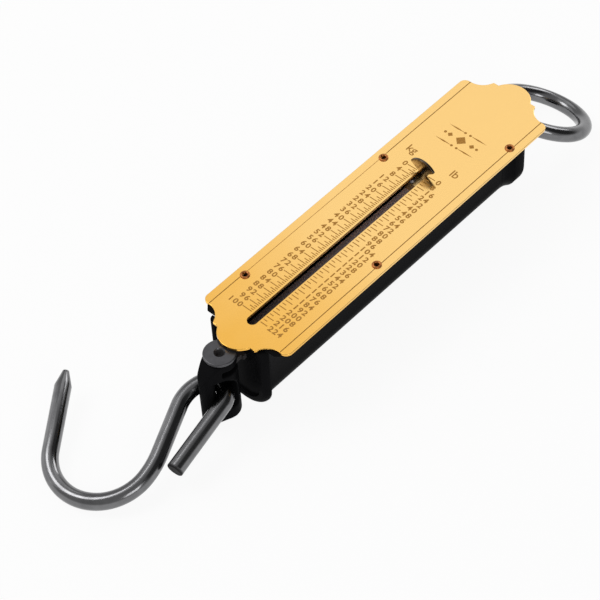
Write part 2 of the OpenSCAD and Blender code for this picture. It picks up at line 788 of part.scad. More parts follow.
// Side view of the eye block, in Y and Z, with its rounded brow and chin
module block_side() {
    front = nose_y - nose_r;
    back = pin_y + block_r + join;
    translate([front + nose_brow_r, block_low]) square([back - front - nose_brow_r,
                                                        block_top - block_low]);
    translate([front, block_low + nose_chin_r])
        square([nose_brow_r + fit, block_top - nose_brow_r - block_low - nose_chin_r]);
    intersection() {
        translate([front + nose_brow_r, block_top - nose_brow_r]) circle(nose_brow_r);
        translate([front, block_top - nose_brow_r]) square([nose_brow_r + fit, nose_brow_r]);
    }
    translate([front + nose_chin_r, block_low + nose_chin_r]) circle(nose_chin_r);
    translate([front + nose_chin_r, block_low])
        square([nose_brow_r - nose_chin_r + fit, nose_chin_r]);
}

// Side view of the eye's hole: an arch at the top, small corners at the foot
module hole_side() {
    mid = nose_y;
    translate([mid, eye_hole_low + hole_corner_r])
        square([hole_back - mid, eye_hole_h - hole_r - hole_corner_r]);
    translate([mid, eye_hole_low])
        square([hole_back - mid - hole_corner_r, hole_corner_r + fit]);
    translate([hole_back - hole_corner_r, eye_hole_low + hole_corner_r]) circle(hole_corner_r);
    translate([mid, eye_hole_top - hole_r - fit])
        square([hole_front - mid + fit, hole_r + fit]);
    intersection() {
        translate([hole_front, eye_hole_top - hole_r]) circle(hole_r);
        translate([hole_front, eye_hole_top - hole_r - fit]) square([hole_r, hole_r + fit]);
    }
}

// Extrudes a Y and Z outline across X
module across_x(w) {
    rotate([90, 0, 90]) translate([0, 0, -w / 2]) linear_extrude(w) children();
}

module eye_block() {
    wide = 2 * block_r + 2 * join;
    color(black) difference() {
        intersection() {
            translate([0, pin_y, block_low]) block_column(block_top - block_low);
            across_x(wide) block_side();
        }
        difference() {
            across_x(wide) hole_side();
            translate([0, nose_y, eye_hole_low - 1])
                cylinder(h = eye_hole_h + 2, r = nose_r);
        }
        translate([-wide / 2, pin_y - tongue_hw - tongue_room, clevis_low])
            cube([wide, wide, clevis_high - clevis_low]);
        translate([0, pin_y, pin_end - fit]) cylinder(h = block_top, r = pin_r + fit);
    }
}

// Points of a bent wire in a plane, each with its heading
function bent_path(rows, p, heading, i = 0) =
    i == len(rows) ? [[p.x, p.y, heading]] :
    let (run = rows[i][0], r = rows[i][1], angle = rows[i][2], side = sign(angle),
         q = p + run * [cos(heading), sin(heading)],
         c = q + side * r * [-sin(heading), cos(heading)],
         steps = ceil(abs(angle) / hook_step), last = heading + angle)
    concat(run > 0 ? [[p.x, p.y, heading]] : [],
           [for (k = [0 : 1 : steps - 1]) let (t = heading + angle * k / steps)
            [c.x + side * r * sin(t), c.y - side * r * cos(t), t]],
           bent_path(rows, c + side * r * [sin(last), -cos(last)], last, i + 1));

module hook() {
    r = hook_wire / 2;
    leg = bent_path(hook_leg, [0, 0], 0);
    bow = bent_path(hook_bow, [0, 0], 180);
    end = bow[len(bow) - 1];
    tip = [end.x + hook_cone_l * cos(end.z), end.y + hook_cone_l * sin(end.z), end.z];
    path = concat([for (i = [len(leg) - 1 : -1 : 1]) leg[i] + [0, 0, 180]], bow, [tip]);
    rings = [for (i = [0 : len(path) - 1]) for (j = [0 : hook_sides - 1])
        let (a = j * 360 / hook_sides, out = i == len(path) - 1 ? hook_tip_r : r, p = path[i])
        [p.x - out * cos(a) * sin(p.z), p.y + out * cos(a) * cos(p.z), out * sin(a)]];
    color(steel) translate([0, hook_y, hook_z]) rotate([180 + hook_lean, 0, 0])
        polyhedron(rings, tube_faces(len(path), hook_sides));
}

face_plate();
plate_rivets();
casing();
lower_cap();
upper_cap();
cap_rivets();
guide_bush();
pointer();
pointer_rivet();
slider();
slider_rivets();
drawbar();
spring_carrier();
main_spring();
spring_anchor();
anchor_pin();
ring_eye();
ring_eye_washer();
ring_eye_nut();
ring();
pivot_pin();
pivot_washer();
eye_block();
hook();
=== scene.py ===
import json
import math

import bmesh
import bpy
from bpy.props import FloatProperty, FloatVectorProperty, IntProperty, PointerProperty
from mathutils import Matrix, Vector


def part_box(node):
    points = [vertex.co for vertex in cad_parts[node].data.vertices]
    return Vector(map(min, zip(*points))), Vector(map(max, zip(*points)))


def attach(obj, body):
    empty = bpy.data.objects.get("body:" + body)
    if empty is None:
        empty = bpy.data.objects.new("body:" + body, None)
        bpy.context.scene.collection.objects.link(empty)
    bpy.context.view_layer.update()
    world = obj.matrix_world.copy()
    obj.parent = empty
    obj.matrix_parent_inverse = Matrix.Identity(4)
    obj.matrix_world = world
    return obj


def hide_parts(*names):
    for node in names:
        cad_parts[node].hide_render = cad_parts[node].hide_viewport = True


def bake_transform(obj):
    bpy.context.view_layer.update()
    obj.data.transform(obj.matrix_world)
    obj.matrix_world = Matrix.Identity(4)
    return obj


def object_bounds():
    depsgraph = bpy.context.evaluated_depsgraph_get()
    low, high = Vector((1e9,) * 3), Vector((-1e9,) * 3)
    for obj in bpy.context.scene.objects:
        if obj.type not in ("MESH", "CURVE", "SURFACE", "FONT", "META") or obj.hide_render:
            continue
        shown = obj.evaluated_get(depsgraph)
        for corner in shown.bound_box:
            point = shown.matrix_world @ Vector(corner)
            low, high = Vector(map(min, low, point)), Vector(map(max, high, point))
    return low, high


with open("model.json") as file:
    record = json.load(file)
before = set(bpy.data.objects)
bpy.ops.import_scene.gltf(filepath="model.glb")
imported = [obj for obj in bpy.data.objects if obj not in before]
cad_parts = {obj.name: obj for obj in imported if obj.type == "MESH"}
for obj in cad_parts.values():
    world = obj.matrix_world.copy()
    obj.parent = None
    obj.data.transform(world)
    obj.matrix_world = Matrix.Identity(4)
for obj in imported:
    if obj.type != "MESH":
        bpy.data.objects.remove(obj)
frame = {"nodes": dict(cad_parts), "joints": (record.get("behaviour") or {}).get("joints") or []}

bl_info = {
    "name": "Luggage spring balance",
    "version": (1, 0, 0),
    "blender": (4, 5, 0),
    "location": "3D View > Sidebar > Balance",
    "description": "Dresses a flat-faced spring balance, its dial, hook and ring",
    "category": "Add Mesh",
}

MM = 0.001
TURN = 2 * math.pi
# Points that are nearer to each other than this are merged
MERGE = 0.002 * MM
# Turn from one section of a bent wire to the next, at most
BEND_STEP = math.radians(3)
CAD_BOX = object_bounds()
JOINTS = {joint["name"]: joint for joint in frame["joints"]}
TRAVEL = JOINTS["drawbar_slide"]["range_m"][1]
PLATE_LOW, PLATE_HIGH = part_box("face_plate")
POINTER_LOW, POINTER_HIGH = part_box("pointer")
CASING_LOW, CASING_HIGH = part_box("casing")
FACE = PLATE_HIGH.z
ZERO = (POINTER_LOW.y + POINTER_HIGH.y) / 2
PIN_PLACE = Vector(JOINTS["eye_swivel"]["pos_m"])
HOOK_PLACE = Vector(JOINTS["hook_swing"]["pos_m"])
RING_PLACE = Vector(JOINTS["ring_swing"]["pos_m"])
FULL_KILOS = 100
FULL_POUNDS = 224
KILOS_A_POUND = 0.45359237
# Distances on the plate that stand for one kilogram and one pound
KILO = TRAVEL / FULL_KILOS
POUND = KILO * KILOS_A_POUND


def length(name, description, millimetres):
    """A length whose default is given in millimetres."""
    return FloatProperty(name=name, description=description, default=millimetres * MM,
                         unit="LENGTH", precision=5)


def angle(name, description, degrees):
    """An angle whose default is given in degrees."""
    return FloatProperty(name=name, description=description, default=math.radians(degrees),
                         subtype="ANGLE")


def colour(name, description, red, green, blue):
    """A linear colour."""
    return FloatVectorProperty(name=name, description=description, subtype="COLOR",
                               default=(red, green, blue), min=0, max=1)


def bearing(name, description, x, y, z):
    """A direction in the frame."""
    return FloatVectorProperty(name=name, description=description, subtype="DIRECTION",
                               default=(x, y, z))


def number(name, description, value):
    """A plain number, such as a factor or a radiance."""
    return FloatProperty(name=name, description=description, default=value, min=0)


def count(name, description, value):
    """A whole number."""
    return IntProperty(name=name, description=description, default=value, min=1)


class BalancePlateSizes(bpy.types.PropertyGroup):
    """Sizes of the face plate, its rivets and its pointer."""
    shoulder_r: length("Shoulder", "Radius of the plate's four shoulder corners", 3)
    step_hw: length("Step", "Half width of the ornament's step at each end", 11.3)
    cove_r: length("Cove", "Radius of the hollow cove beside each step", 8)
    cove_h: length("Cove height", "Height of the cove from the straight sides to the step", 5.5)
    tip_r: length("Step tips", "Rounding of the step's tips", 0.5)
    step_h: length("Step height", "Height of the step above the cove", 0.3)
    lobe_r: length("Lobe", "Radius of the lobe at each end", 9.4)
    lobe_h: length("Lobe height", "Height of the lobe above the straight sides", 11.2)
    slot_w: length("Slot", "Width of the long slot", 4.4)
    slot_over_zero: length("Slot start", "Slot beyond the zero mark", 4.4)
    slot_over_end: length("Slot end", "Slot beyond the last mark", 5.3)
    edge_r: length("Edge", "Rounding of the plate's upper edges", 0.14)
    groove_x: length("Border", "Distance of the border grooves from the centre line", 19)
    groove_w: length("Border width", "Width of a border groove", 0.4)
    groove_d: length("Border depth", "Depth of a border groove", 0.2)
    rivet_x: length("Rivet place", "Distance of each rivet from the centre line", 18.2)
    rivet_near: length("Outer rivets", "Distance of the outer rivets from their shoulder", 20)
    rivet_far: length("Inner rivets", "Distance of the inner rivets from their shoulder", 57.5)
    rivet_head_r: length("Rivet head", "Radius of a rivet's rolled head", 2.1)
    rivet_head_h: length("Rivet height", "Height of a rivet's rolled head", 0.6)
    rivet_shank_r: length("Rivet shank", "Radius of a rivet's shank", 1.5)
    rivet_bore_r: length("Rivet bore", "Radius of the hole through a rivet", 1)
    pointer_r: length("Pointer", "Radius of the pointer's half-moon head", 7.5)
    pointer_hw: length("Pointer tips", "Half width of the head at its tips", 6.1)
    pointer_tip_h: length("Pointer tip height", "Height of the tips above the plate", 4)
    pointer_neck_h: length("Pointer neck", "Height of the neck above the plate", 0.8)
    pointer_neck_hw: length("Neck width", "Half width of the pointer's neck", 1.9)
    pointer_edge: length("Pointer edge", "Rounding of the pointer's edges", 0.2)
    pointer_tip_r: length("Pointer corners", "Rounding of the head's two tips", 0.45)


class BalanceMarkSizes(bpy.types.PropertyGroup):
    """Sizes of the scales that are struck into the plate."""
    depth: length("Fill", "Thickness of the dark fill in the marks", 0.03)
    tick_w: length("Mark width", "Width of a scale mark", 0.42)
    kilo_inner: length("Kilo marks", "Inner end of the kilogram marks", 3.2)
    kilo_long: length("Long kilo", "Outer end of every fourth kilogram mark", 8.1)
    kilo_medium: length("Medium kilo", "Outer end of every second kilogram mark", 6.1)
    kilo_short: length("Short kilo", "Outer end of the other kilogram marks", 4.6)
    pound_inner: length("Pound marks", "Inner end of the pound marks", 2.9)
    pound_long: length("Long pound", "Outer end of every eighth pound mark", 6.5)
    pound_short: length("Short pound", "Outer end of the marks halfway between", 4.8)
    digit_h: length("Digit", "Height of a digit", 2.6)
    kilo_pitch: length("Kilo pitch", "Distance from one kilogram digit to the next", 2.45)
    pound_pitch: length("Pound pitch", "Distance from one pound digit to the next", 2.4)
    digit_weight: length("Stroke", "Extra thickness of a stroke", 0.11)
    digit_stretch: number("Digit stretch", "Widening of each digit", 1.1)
    kilo_digits: length("Kilo digits", "Inner edge of the kilogram digits", 8.17)
    pound_digits: length("Pound digits", "Inner edge of the pound digits", 7.2)
    unit_h: length("Unit", "Height of the unit letters", 4)
    unit_weight: length("Unit stroke", "Extra thickness of a unit's stroke", 0.06)
    unit_y: length("Unit place", "Middle of the unit letters above the zero mark", 8)
    kilo_unit_x: length("Kilo unit", "Distance of the kilogram letters", 12.2)
    pound_unit_x: length("Pound unit", "Distance of the pound letters", 10.5)
    kilo_every: count("Kilo labels", "Kilograms between labels", 4)
    pound_every: count("Pound labels", "Pounds between labels", 8)
    ornament_y: length("Ornament", "Middle of the ornament above the zero mark", 24.4)
    ornament_gap: length("Ornament rows", "Half the distance between the two rules", 4.6)
    ornament_l: length("Rule", "Length of one tapered rule", 8.6)
    lozenge: length("Lozenge", "Half length of the middle lozenge", 2.6)


class BalanceBodySizes(bpy.types.PropertyGroup):
    """Sizes of the casing, the caps, the eyes and the spring."""
    sheet: length("Sheet", "Thickness of the trough's sheet", 0.9)
    trough_r: length("Trough corner", "Radius of the trough's long corners", 11)
    trough_hw: length("Trough", "Half width of the trough", 13)
    flange_cut: length("Flange cut", "Corner cut of the flanges", 2.8)
    edge: length("Edge", "Rounding of sheet edges", 0.12)
    spigot: length("Spigot", "Thickness of the lower cap's spigot", 1.2)
    spigot_l: length("Spigot length", "Length of the lower cap's spigot", 6)
    low_round: length("Lower rim", "Rounding of the lower cap's front edge", 2.7)
    wall: length("Wall", "Thickness of a cap's end wall", 1.5)
    wall_recess: length("Recess", "Depth of the lower wall behind its rim", 1.2)
    up_lip_l: length("Upper lip", "Length of the upper cap's full lip", 7)
    flare_l: length("Flare", "Length of the flare up to that lip", 7)
    up_round: length("Upper rim", "Rounding of the upper cap's end edge", 2.5)
    clear: length("Clearance", "Clearance between fixed pieces", 0.05)
    casting_voxel: length("Casting grain", "Cell size at which castings are rounded", 0.28)
    casting_rounds: count("Casting rounds", "Passes of rounding", 9)
    disc_dish: length("Dimple", "Radius of the countersink in the pin's head", 2.2)
    disc_dish_d: length("Dimple depth", "Depth of that countersink", 2.3)
    pin_r: length("Pin", "Radius of the pivot pin", 2.5)
    spring_wire: length("Spring wire", "Thickness of the spring's wire", 3)
    spring_pitch: length("Spring pitch", "Pitch of the coil at rest", 3.45)


class BalanceWireSizes(bpy.types.PropertyGroup):
    """Sizes of the hook and the ring."""
    hook_wire: length("Hook wire", "Thickness of the hook's wire", 7)
    hook_lean: angle("Hook lean", "Angle by which the hook leans down", 11.992)
    hook_eye_r: length("Hook eye", "Bend radius of the hook's own eye", 7.2)
    hook_out_r: length("Second bend", "Bend radius where the eye runs out", 15.8)
    hook_shank_l: length("Shank", "Straight run of the shank", 21.6)
    hook_sweep_r: length("Sweep", "Radius of the sweep from shank to bow", 37.7)
    hook_bow_r: length("Bow", "Radius of the big bow", 21.6)
    hook_point_l: length("Point run", "Straight run up to the point's cone", 28.4)
    hook_cone_l: length("Cone", "Length of the cone at the point", 7)
    hook_tip_r: length("Tip", "Radius at the end of the cone", 1.4)
    hook_leg_l: length("Leg", "Length of the short leg", 32.5)
    hook_leg_turn: angle("Leg turn", "Turn of the hook's eye up to the leg", 83.2)
    hook_eye_turn: angle("Eye turn", "Turn of the hook's eye up to the second bend", 65.7)
    hook_out_turn: angle("Second turn", "Turn of the second bend", 46.2)
    hook_sweep_turn: angle("Sweep turn", "Turn of the sweep from shank to bow", 16.3)
    hook_bow_turn: angle("Bow turn", "Turn of the big bow", 151)
    cut_edge: length("Cut edge", "Chamfer of the leg's cut end", 0.35)
    ring_r: length("Ring", "Radius of the ring to the middle of its wire", 19.75)
    ring_wire: length("Ring wire", "Thickness of the ring's wire", 6.7)
    ring_lean: angle("Ring lean", "Angle by which the ring leans down", 27.5015)


class BalanceColours(bpy.types.PropertyGroup):
    """Colours of the finishes, and where two of them change along the balance."""
    brass: colour("Brass", "Lacquered face plate towards the ring", 0.95, 0.62, 0.225)
    # Painted reflection falloff: the darker, warmer brass that the plate fades to towards the hook
    brass_warm: colour("Warm brass", "Face plate towards the hook", 0.87, 0.475, 0.09)
    mark: colour("Marks", "Brown fill of the marks and digits", 0.42, 0.2, 0.03)
    bronze: colour("Bronze", "Rivets", 0.34, 0.13, 0.04)
    # Painted shade: the pointer's brass is given the dark brown it shows in shade
    pointer: colour("Pointer", "Browned metal of the pointer", 0.1, 0.078, 0.055)
    paint: colour("Paint", "Black paint", 0.005, 0.005, 0.0055)
    steel: colour("Steel", "Drawn steel of the hook and ring", 0.2, 0.2, 0.205)
    steel_dark: colour("Dark steel", "Oxide in the drawn steel", 0.12, 0.12, 0.125)
    disc: colour("Disc", "Blackened head of the pin", 0.07, 0.07, 0.075)
    # Painted light: the drawbar's pale colour stands in for the light that falls through the slot
    bar: colour("Drawbar", "Plated bar seen through the slot", 0.95, 0.79, 0.85)
    # Near black: the hook's sawn end, and the painted shade in the pin's dimple and on the drawbar
    # towards the hook
    grease: colour("Grease", "Grease and grime, and the hook's sawn end", 0.012, 0.011, 0.011)
    inner_steel: colour("Inner steel", "Oiled steel inside", 0.3, 0.29, 0.3)
    inner_brass: colour("Inner brass", "Machined brass inside", 0.6, 0.38, 0.13)
    # Painted reflection falloff: where it starts along Y, and the distance over which it grows
    warm_from: length("Warm from", "Place along Y where the plate starts to grow warmer", -10)
    warm_over: length("Warm over", "Distance over which the plate grows warmer", 80)
    # Painted shade: where the drawbar starts to darken towards the hook
    grease_from: length("Grease from", "Place along Y where the drawbar starts to darken", 10)


class BalanceStudio(bpy.types.PropertyGroup):
    """Camera, lamps and floor."""
    camera_place: FloatVectorProperty(name="Camera", description="Place of the camera",
                                      default=(0.39775, -0.44066, 0.68516),
                                      subtype="TRANSLATION", unit="LENGTH")
    camera_ahead: bearing("View", "Direction of the view", -0.46, 0.453, -0.764)
    camera_right: bearing("Right", "The picture's right side", 0.738, 0.673, -0.045)
    sensor: length("Sensor", "Width of the camera's sensor", 36)
    lens: length("Lens", "Focal length of the camera", 130.32)
    plate_light: number("Plate light", "Radiance that the plate shows", 0.62)
    wire_light: number("Wire light", "Radiance of the streaks on wires", 4)
    top_light: number("Top light", "Radiance of the sheet overhead", 0.55)
    side_light: number("Side light", "Radiance of the low sheet", 0.5)
    back_light: number("Back light", "Radiance of the sheet behind", 3)
    front_light: number("Front light", "Radiance of the lamp in front", 3)
    room: number("Room", "Radiance of the room", 0.42)
    flag: number("Flag", "Share of the room's light that the dark flag leaves", 0.15)
    flag_side: bearing("Flag side", "Direction of the dark flag", 0.55, 0.5, 0.67)
    whiteness: number("Whiteness", "White share of the floor", 0.92)
    floor_size: length("Floor", "Half width of the floor", 30000)
    floor_gap: length("Floor gap", "Gap between the floor and the balance", 0.05)


class Value:
    """A node's output, whose arithmetic adds Math nodes."""

    def __init__(self, tree, socket):
        self.tree = tree
        self.socket = socket

    def step(self, operation, first, second):
        """Adds one Math node."""
        node = self.tree.nodes.new("ShaderNodeMath")
        node.operation = operation
        feed(self.tree, node.inputs[0], first)
        feed(self.tree, node.inputs[1], second)
        return Value(self.tree, node.outputs[0])

    def __add__(self, other):
        return self.step("ADD", self, other)

    def __sub__(self, other):
        return self.step("SUBTRACT", self, other)

    def __rsub__(self, other):
        return self.step("SUBTRACT", other, self)

    def __mul__(self, other):
        return self.step("MULTIPLY", self, other)

    __radd__ = __add__
    __rmul__ = __mul__


def feed(tree, place, item):
    """Links a Value to a socket, or sets the socket to a plain value."""
    if isinstance(item, Value):
        tree.links.new(item.socket, place)
    else:
        place.default_value = item


class Nodes:
    """A node tree under construction, with one method that adds any node."""

    def __init__(self, tree):
        self.tree = tree

    def add(self, kind, settings=None, sockets=None, out=0):
        """Adds a node with its settings, a ramp's grey stops, and its sockets' values or links."""
        node = self.tree.nodes.new(kind)
        for name, value in (settings or {}).items():
            if name == "stops":
                while len(node.color_ramp.elements) < len(value):
                    node.color_ramp.elements.new(1)
                for element, (place, grey) in zip(node.color_ramp.elements, value):
                    element.position = place
                    element.color = (grey, grey, grey, 1)
            else:
                setattr(node, name, value)
        for name, value in (sockets or {}).items():
            feed(self.tree, node.inputs[name], value)
        return Value(self.tree, node.outputs[out])

    def ramp(self, value, *stops):
        """Turns a value into the grey between stops of place and grey."""
        return self.add("ShaderNodeValToRGB", {"stops": stops}, {"Fac": value})


class Finish(Nodes):
    """A material whose patterns lie on the piece's own place."""

    def __init__(self, name, **fixed):
        self.material = bpy.data.materials.new(name)
        self.material.use_nodes = True
        super().__init__(self.material.node_tree)
        self.shader = self.tree.nodes["Principled BSDF"]
        self.place = self.add("ShaderNodeTexCoord", out="Object")
        for socket, value in fixed.items():
            self.set(socket.replace("_", " "), value)

    def set(self, socket, value):
        """Feeds one of the shader's sockets."""
        feed(self.tree, self.shader.inputs[socket], value)

    def stretched(self, x, y, z):
        """The place on the piece, with one feature for each of these lengths."""
        return self.add("ShaderNodeMapping", None,
                        {"Vector": self.place, "Scale": (1 / x, 1 / y, 1 / z)})

    def noise(self, place, detail=3, roughness=0.55):
        """Noise of about one feature for each step of the place."""
        return self.add("ShaderNodeTexNoise", None,
                        {"Vector": place, "Scale": 1, "Detail": detail,
                         "Roughness": roughness}, "Fac")

    def specks(self, size, detail=3, roughness=0.55):
        """Noise whose features are as long one way as another."""
        return self.noise(self.stretched(size, size, size), detail, roughness)

    def along(self):
        """The place along Y in metres."""
        return self.add("ShaderNodeSeparateXYZ", None, {"Vector": self.place}, "Y")

    def away(self, place, point):
        """How far a place is from a point."""
        return self.add("ShaderNodeVectorMath", {"operation": "DISTANCE"},
                        {0: place, 1: point}, "Value")

    def mix(self, factor, *pair):
        """A mix of two colours, each plain or from another node."""
        first, second = [item if isinstance(item, Value) else (*item, 1) for item in pair]
        return self.add("ShaderNodeMix", {"data_type": "RGBA"},
                        {0: factor, 6: first, 7: second}, 2)

    def bump(self, height, distance, strength=1):
        """Raises the surface by a height, where 1 is a distance in metres."""
        self.set("Normal", self.add("ShaderNodeBump", None,
                                    {"Height": height, "Distance": distance,
                                     "Strength": strength}))


def toned(tint, factor):
    """A colour made lighter or darker by a factor."""
    return [channel * factor for channel in tint]


def lacquered_brass(colours):
    """Rolled brass sheet under lacquer, with clouds and a grain, and a painted reflection falloff
    that makes it darker and warmer towards the hook.
    """
    finish = Finish("lacquered_brass", Metallic=1)
    clouds = finish.noise(finish.stretched(0.03, 0.045, 0.03), 4)
    grain = finish.noise(finish.stretched(0.0002, 0.006, 0.0002), 2)
    smears = finish.noise(finish.stretched(0.006, 0.02, 0.006), 5, 0.65)
    # Painted reflection falloff: the colour grows darker and warmer towards the hook, unevenly
    # with the clouds
    towards_hook = (colours.warm_from - finish.along()) * (1 / colours.warm_over)
    reflection_falloff = finish.ramp(towards_hook + (clouds - 0.5) * 0.8, (0, 0), (1, 1))
    finish.set("Base Color", finish.mix(reflection_falloff, colours.brass, colours.brass_warm))
    finish.set("Roughness", 0.12 + grain * 0.04 + smears * 0.06)
    finish.bump(grain, distance=0.000003, strength=0.5)
    return finish.material


def mark_fill(colours):
    """Brown fill in the struck marks, a little uneven."""
    finish = Finish("mark_fill", Metallic=0.5)
    specks = finish.specks(0.0004)
    finish.set("Base Color", finish.mix(specks, colours.mark, toned(colours.mark, 1.3)))
    finish.set("Roughness", 0.45 + specks * 0.2)
    return finish.material


def rivet_bronze(colours):
    """Bronze of the tubular rivets, lighter in random patches."""
    finish = Finish("rivet_bronze", Metallic=0.9)
    patches = finish.specks(0.0008, 4)
    finish.set("Base Color", finish.mix(patches, colours.bronze, toned(colours.bronze, 1.8)))
    finish.set("Roughness", 0.28 + patches * 0.2)
    return finish.material


def darkened_brass(colours):
    """Pointer sheet of brass, painted the dark brown it shows in shade, polished, a little paler
    here and there.
    """
    finish = Finish("darkened_brass", Metallic=1)
    patches = finish.specks(0.0025, 4)
    # Painted shade: dark brown brass, paler in random patches
    finish.set("Base Color", finish.mix(patches, colours.pointer, toned(colours.pointer, 1.4)))
    finish.set("Roughness", 0.2 + patches * 0.08)
    return finish.material


def black_paint(colours, name, peel, rough):
    """Baked black paint with a fine orange peel, which mirrors little of the white floor."""
    finish = Finish(name, Specular_IOR_Level=0.005)
    peel_height = finish.specks(peel, 2)
    dust = finish.specks(0.011, 5, 0.6)
    finish.set("Base Color", finish.mix(dust, colours.paint, toned(colours.paint, 1.8)))
    finish.set("Roughness", rough + dust * 0.12)
    finish.bump(peel_height, distance=0.00003, strength=0.35)
    return finish.material


def leg_end(sizes):
    """Place of the cut end of the hook's short leg."""
    turn = sizes.hook_leg_turn
    x = sizes.hook_eye_r * math.sin(turn) + sizes.hook_leg_l * math.cos(turn)
    y = sizes.hook_eye_r * (1 - math.cos(turn)) + sizes.hook_leg_l * math.sin(turn)
    return HOOK_PLACE + Matrix.Rotation(math.pi + sizes.hook_lean, 3, "X") @ Vector((x, y, 0))


def drawn_steel(colours):
    """Bright drawn wire with faint grey oxide, fine scuffs and a dark sawn end."""
    sizes = bpy.context.scene.balance_wires
    finish = Finish("drawn_steel", Metallic=1)
    oxide = finish.ramp(finish.specks(0.007, 5, 0.6), (0.4, 0), (0.75, 1))
    scuffs = finish.specks(0.0007)
    to_end = finish.away(finish.place, leg_end(sizes)) * (1 / sizes.hook_wire)
    sawn = finish.ramp(to_end, (0.5, 0.85), (0.54, 0))
    drawn = finish.mix(oxide * 0.7, colours.steel, colours.steel_dark)
    finish.set("Base Color", finish.mix(sawn, drawn, colours.grease))
    finish.set("Roughness", 0.13 + oxide * 0.08 + scuffs * 0.07 + sawn * 0.7)
    finish.bump(scuffs, distance=0.00001, strength=0.3)
    return finish.material


def blackened_disc(colours):
    """Turned head of the pivot pin, polished by touch, with painted shade in its dimple."""
    sizes = bpy.context.scene.balance_body
    finish = Finish("blackened_disc")
    rubbed = finish.specks(0.002, 4)
    flat = finish.add("ShaderNodeMapping", None, {"Vector": finish.place, "Scale": (1, 1, 0)})
    away = finish.away(flat, (PIN_PLACE.x, PIN_PLACE.y, 0))
    # Painted shade: inside the dimple the head turns near black, dull and not metallic
    clear_of_dimple_shade = finish.ramp(away * (1 / sizes.disc_dish), (0.84, 0), (0.92, 1))
    bright = clear_of_dimple_shade * (0.6 + rubbed * 0.4)
    finish.set("Base Color", finish.mix(bright, colours.grease, toned(colours.disc, 1.6)))
    finish.set("Metallic", clear_of_dimple_shade * 0.8)
    finish.set("Roughness", 0.68 - clear_of_dimple_shade * 0.4 + rubbed * 0.1)
    return finish.material


def plated_bar(colours):
    """Dull plating on the drawbar, given a pale colour that stands in for the light through the
    slot, and painted shade that darkens it towards the hook.
    """
    finish = Finish("plated_bar")
    lines = finish.noise(finish.stretched(0.0003, 0.009, 0.0003), 3)
    reach = colours.grease_from - CASING_LOW.y
    towards_hook = (colours.grease_from - finish.along()) * (1 / reach)
    # Painted shade: the bar darkens towards the hook, with a faint grain
    bar_painted_shade = finish.ramp(towards_hook, (0, 0), (0.9, 0.8), (1, 1)) * 0.97 + lines * 0.03
    finish.set("Base Color", finish.mix(bar_painted_shade, colours.bar, colours.grease))
    finish.set("Roughness", 0.5 + lines * 0.15)
    return finish.material


def plain_metal(name, tint, rough, grain):
    """Machined metal inside the casing, with a grain along Y."""
    finish = Finish(name, Metallic=0.95)
    lines = finish.noise(finish.stretched(grain, grain * 14, grain), 3)
    finish.set("Base Color", finish.mix(lines, tint, toned(tint, 0.6)))
    finish.set("Roughness", rough + lines * 0.15)
    finish.bump(lines, distance=0.00001, strength=0.4)
    return finish.material


def material(name):
    """A finish by name, made once."""
    found = bpy.data.materials.get(name)
    if found:
        return found
    colours = bpy.context.scene.balance_colours
    makers = {
        "lacquered_brass": lambda: lacquered_brass(colours),
        "mark_fill": lambda: mark_fill(colours),
        "rivet_bronze": lambda: rivet_bronze(colours),
        "darkened_brass": lambda: darkened_brass(colours),
        "casing_paint": lambda: black_paint(colours, "casing_paint", peel=0.0016, rough=0.26),
        "casting_paint": lambda: black_paint(colours, "casting_paint", peel=0.0008, rough=0.32),
        "drawn_steel": lambda: drawn_steel(colours),
        "blackened_disc": lambda: blackened_disc(colours),
        "plated_bar": lambda: plated_bar(colours),
        "oiled_steel": lambda: plain_metal("oiled_steel", colours.inner_steel,
                                           rough=0.32, grain=0.0005),
        "inner_brass": lambda: plain_metal("inner_brass", colours.inner_brass,
                                           rough=0.3, grain=0.0004),
    }
    return makers[name]()


def mesh_of(bm, name):
    """Turns a bmesh into a mesh, and frees it."""
    mesh = bpy.data.meshes.new(name)
    bm.to_mesh(mesh)
    bm.free()
    return mesh


def linked(name, data):
    """A new object of the scene, which holds a mesh, a curve, a lamp or a camera."""
    item = bpy.data.objects.new(name, data)
    bpy.context.scene.collection.objects.link(item)
    return item


def evaluated(holder):
    """The mesh that an object shows, after which the object is removed."""
    graph = bpy.context.evaluated_depsgraph_get()
    mesh = bpy.data.meshes.new_from_object(holder.evaluated_get(graph))
    bpy.data.objects.remove(holder)
    return mesh


def add_piece(bm, name, body, finish, nodes=(), sharp=35):
    """Makes a bmesh an object, smooth between its sharp edges, that rides on a body if named."""
    bmesh.ops.remove_doubles(bm, verts=bm.verts, dist=MERGE)
    bmesh.ops.recalc_face_normals(bm, faces=bm.faces)
    mesh = mesh_of(bm, name)
    mesh.shade_smooth()
    mesh.set_sharp_from_angle(angle=math.radians(sharp))
    mesh.materials.append(material(finish))
    piece = linked(name, mesh)
    if body:
        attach(piece, body)
    if nodes:
        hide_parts(*nodes)
    return piece


def arc(x, y, radius, start, end, steps):
    """Points on an arc, from and to angles in degrees."""
    turns = [math.radians(start + (end - start) * step / steps) for step in range(steps + 1)]
    return [(x + radius * math.cos(turn), y + radius * math.sin(turn)) for turn in turns]


def loop(bm, points, closed=True):
    """Adds a row of points joined by edges, and returns the edges."""
    verts = [bm.verts.new(point) for point in points]
    pairs = list(zip(verts, verts[1:]))
    if closed:
        pairs.append((verts[-1], verts[0]))
    return [bm.edges.new(pair) for pair in pairs]


def verts_of(edges):
    """The verts of some edges, each once."""
    return list({vert for edge in edges for vert in edge.verts})


def skin(bm, rows, closed=True):
    """Joins rows of points by bands of faces, and returns each row's edges."""
    loops = [loop(bm, row, closed) for row in rows]
    for first, second in zip(loops, loops[1:]):
        bmesh.ops.bridge_loops(bm, edges=first + second)
    return loops


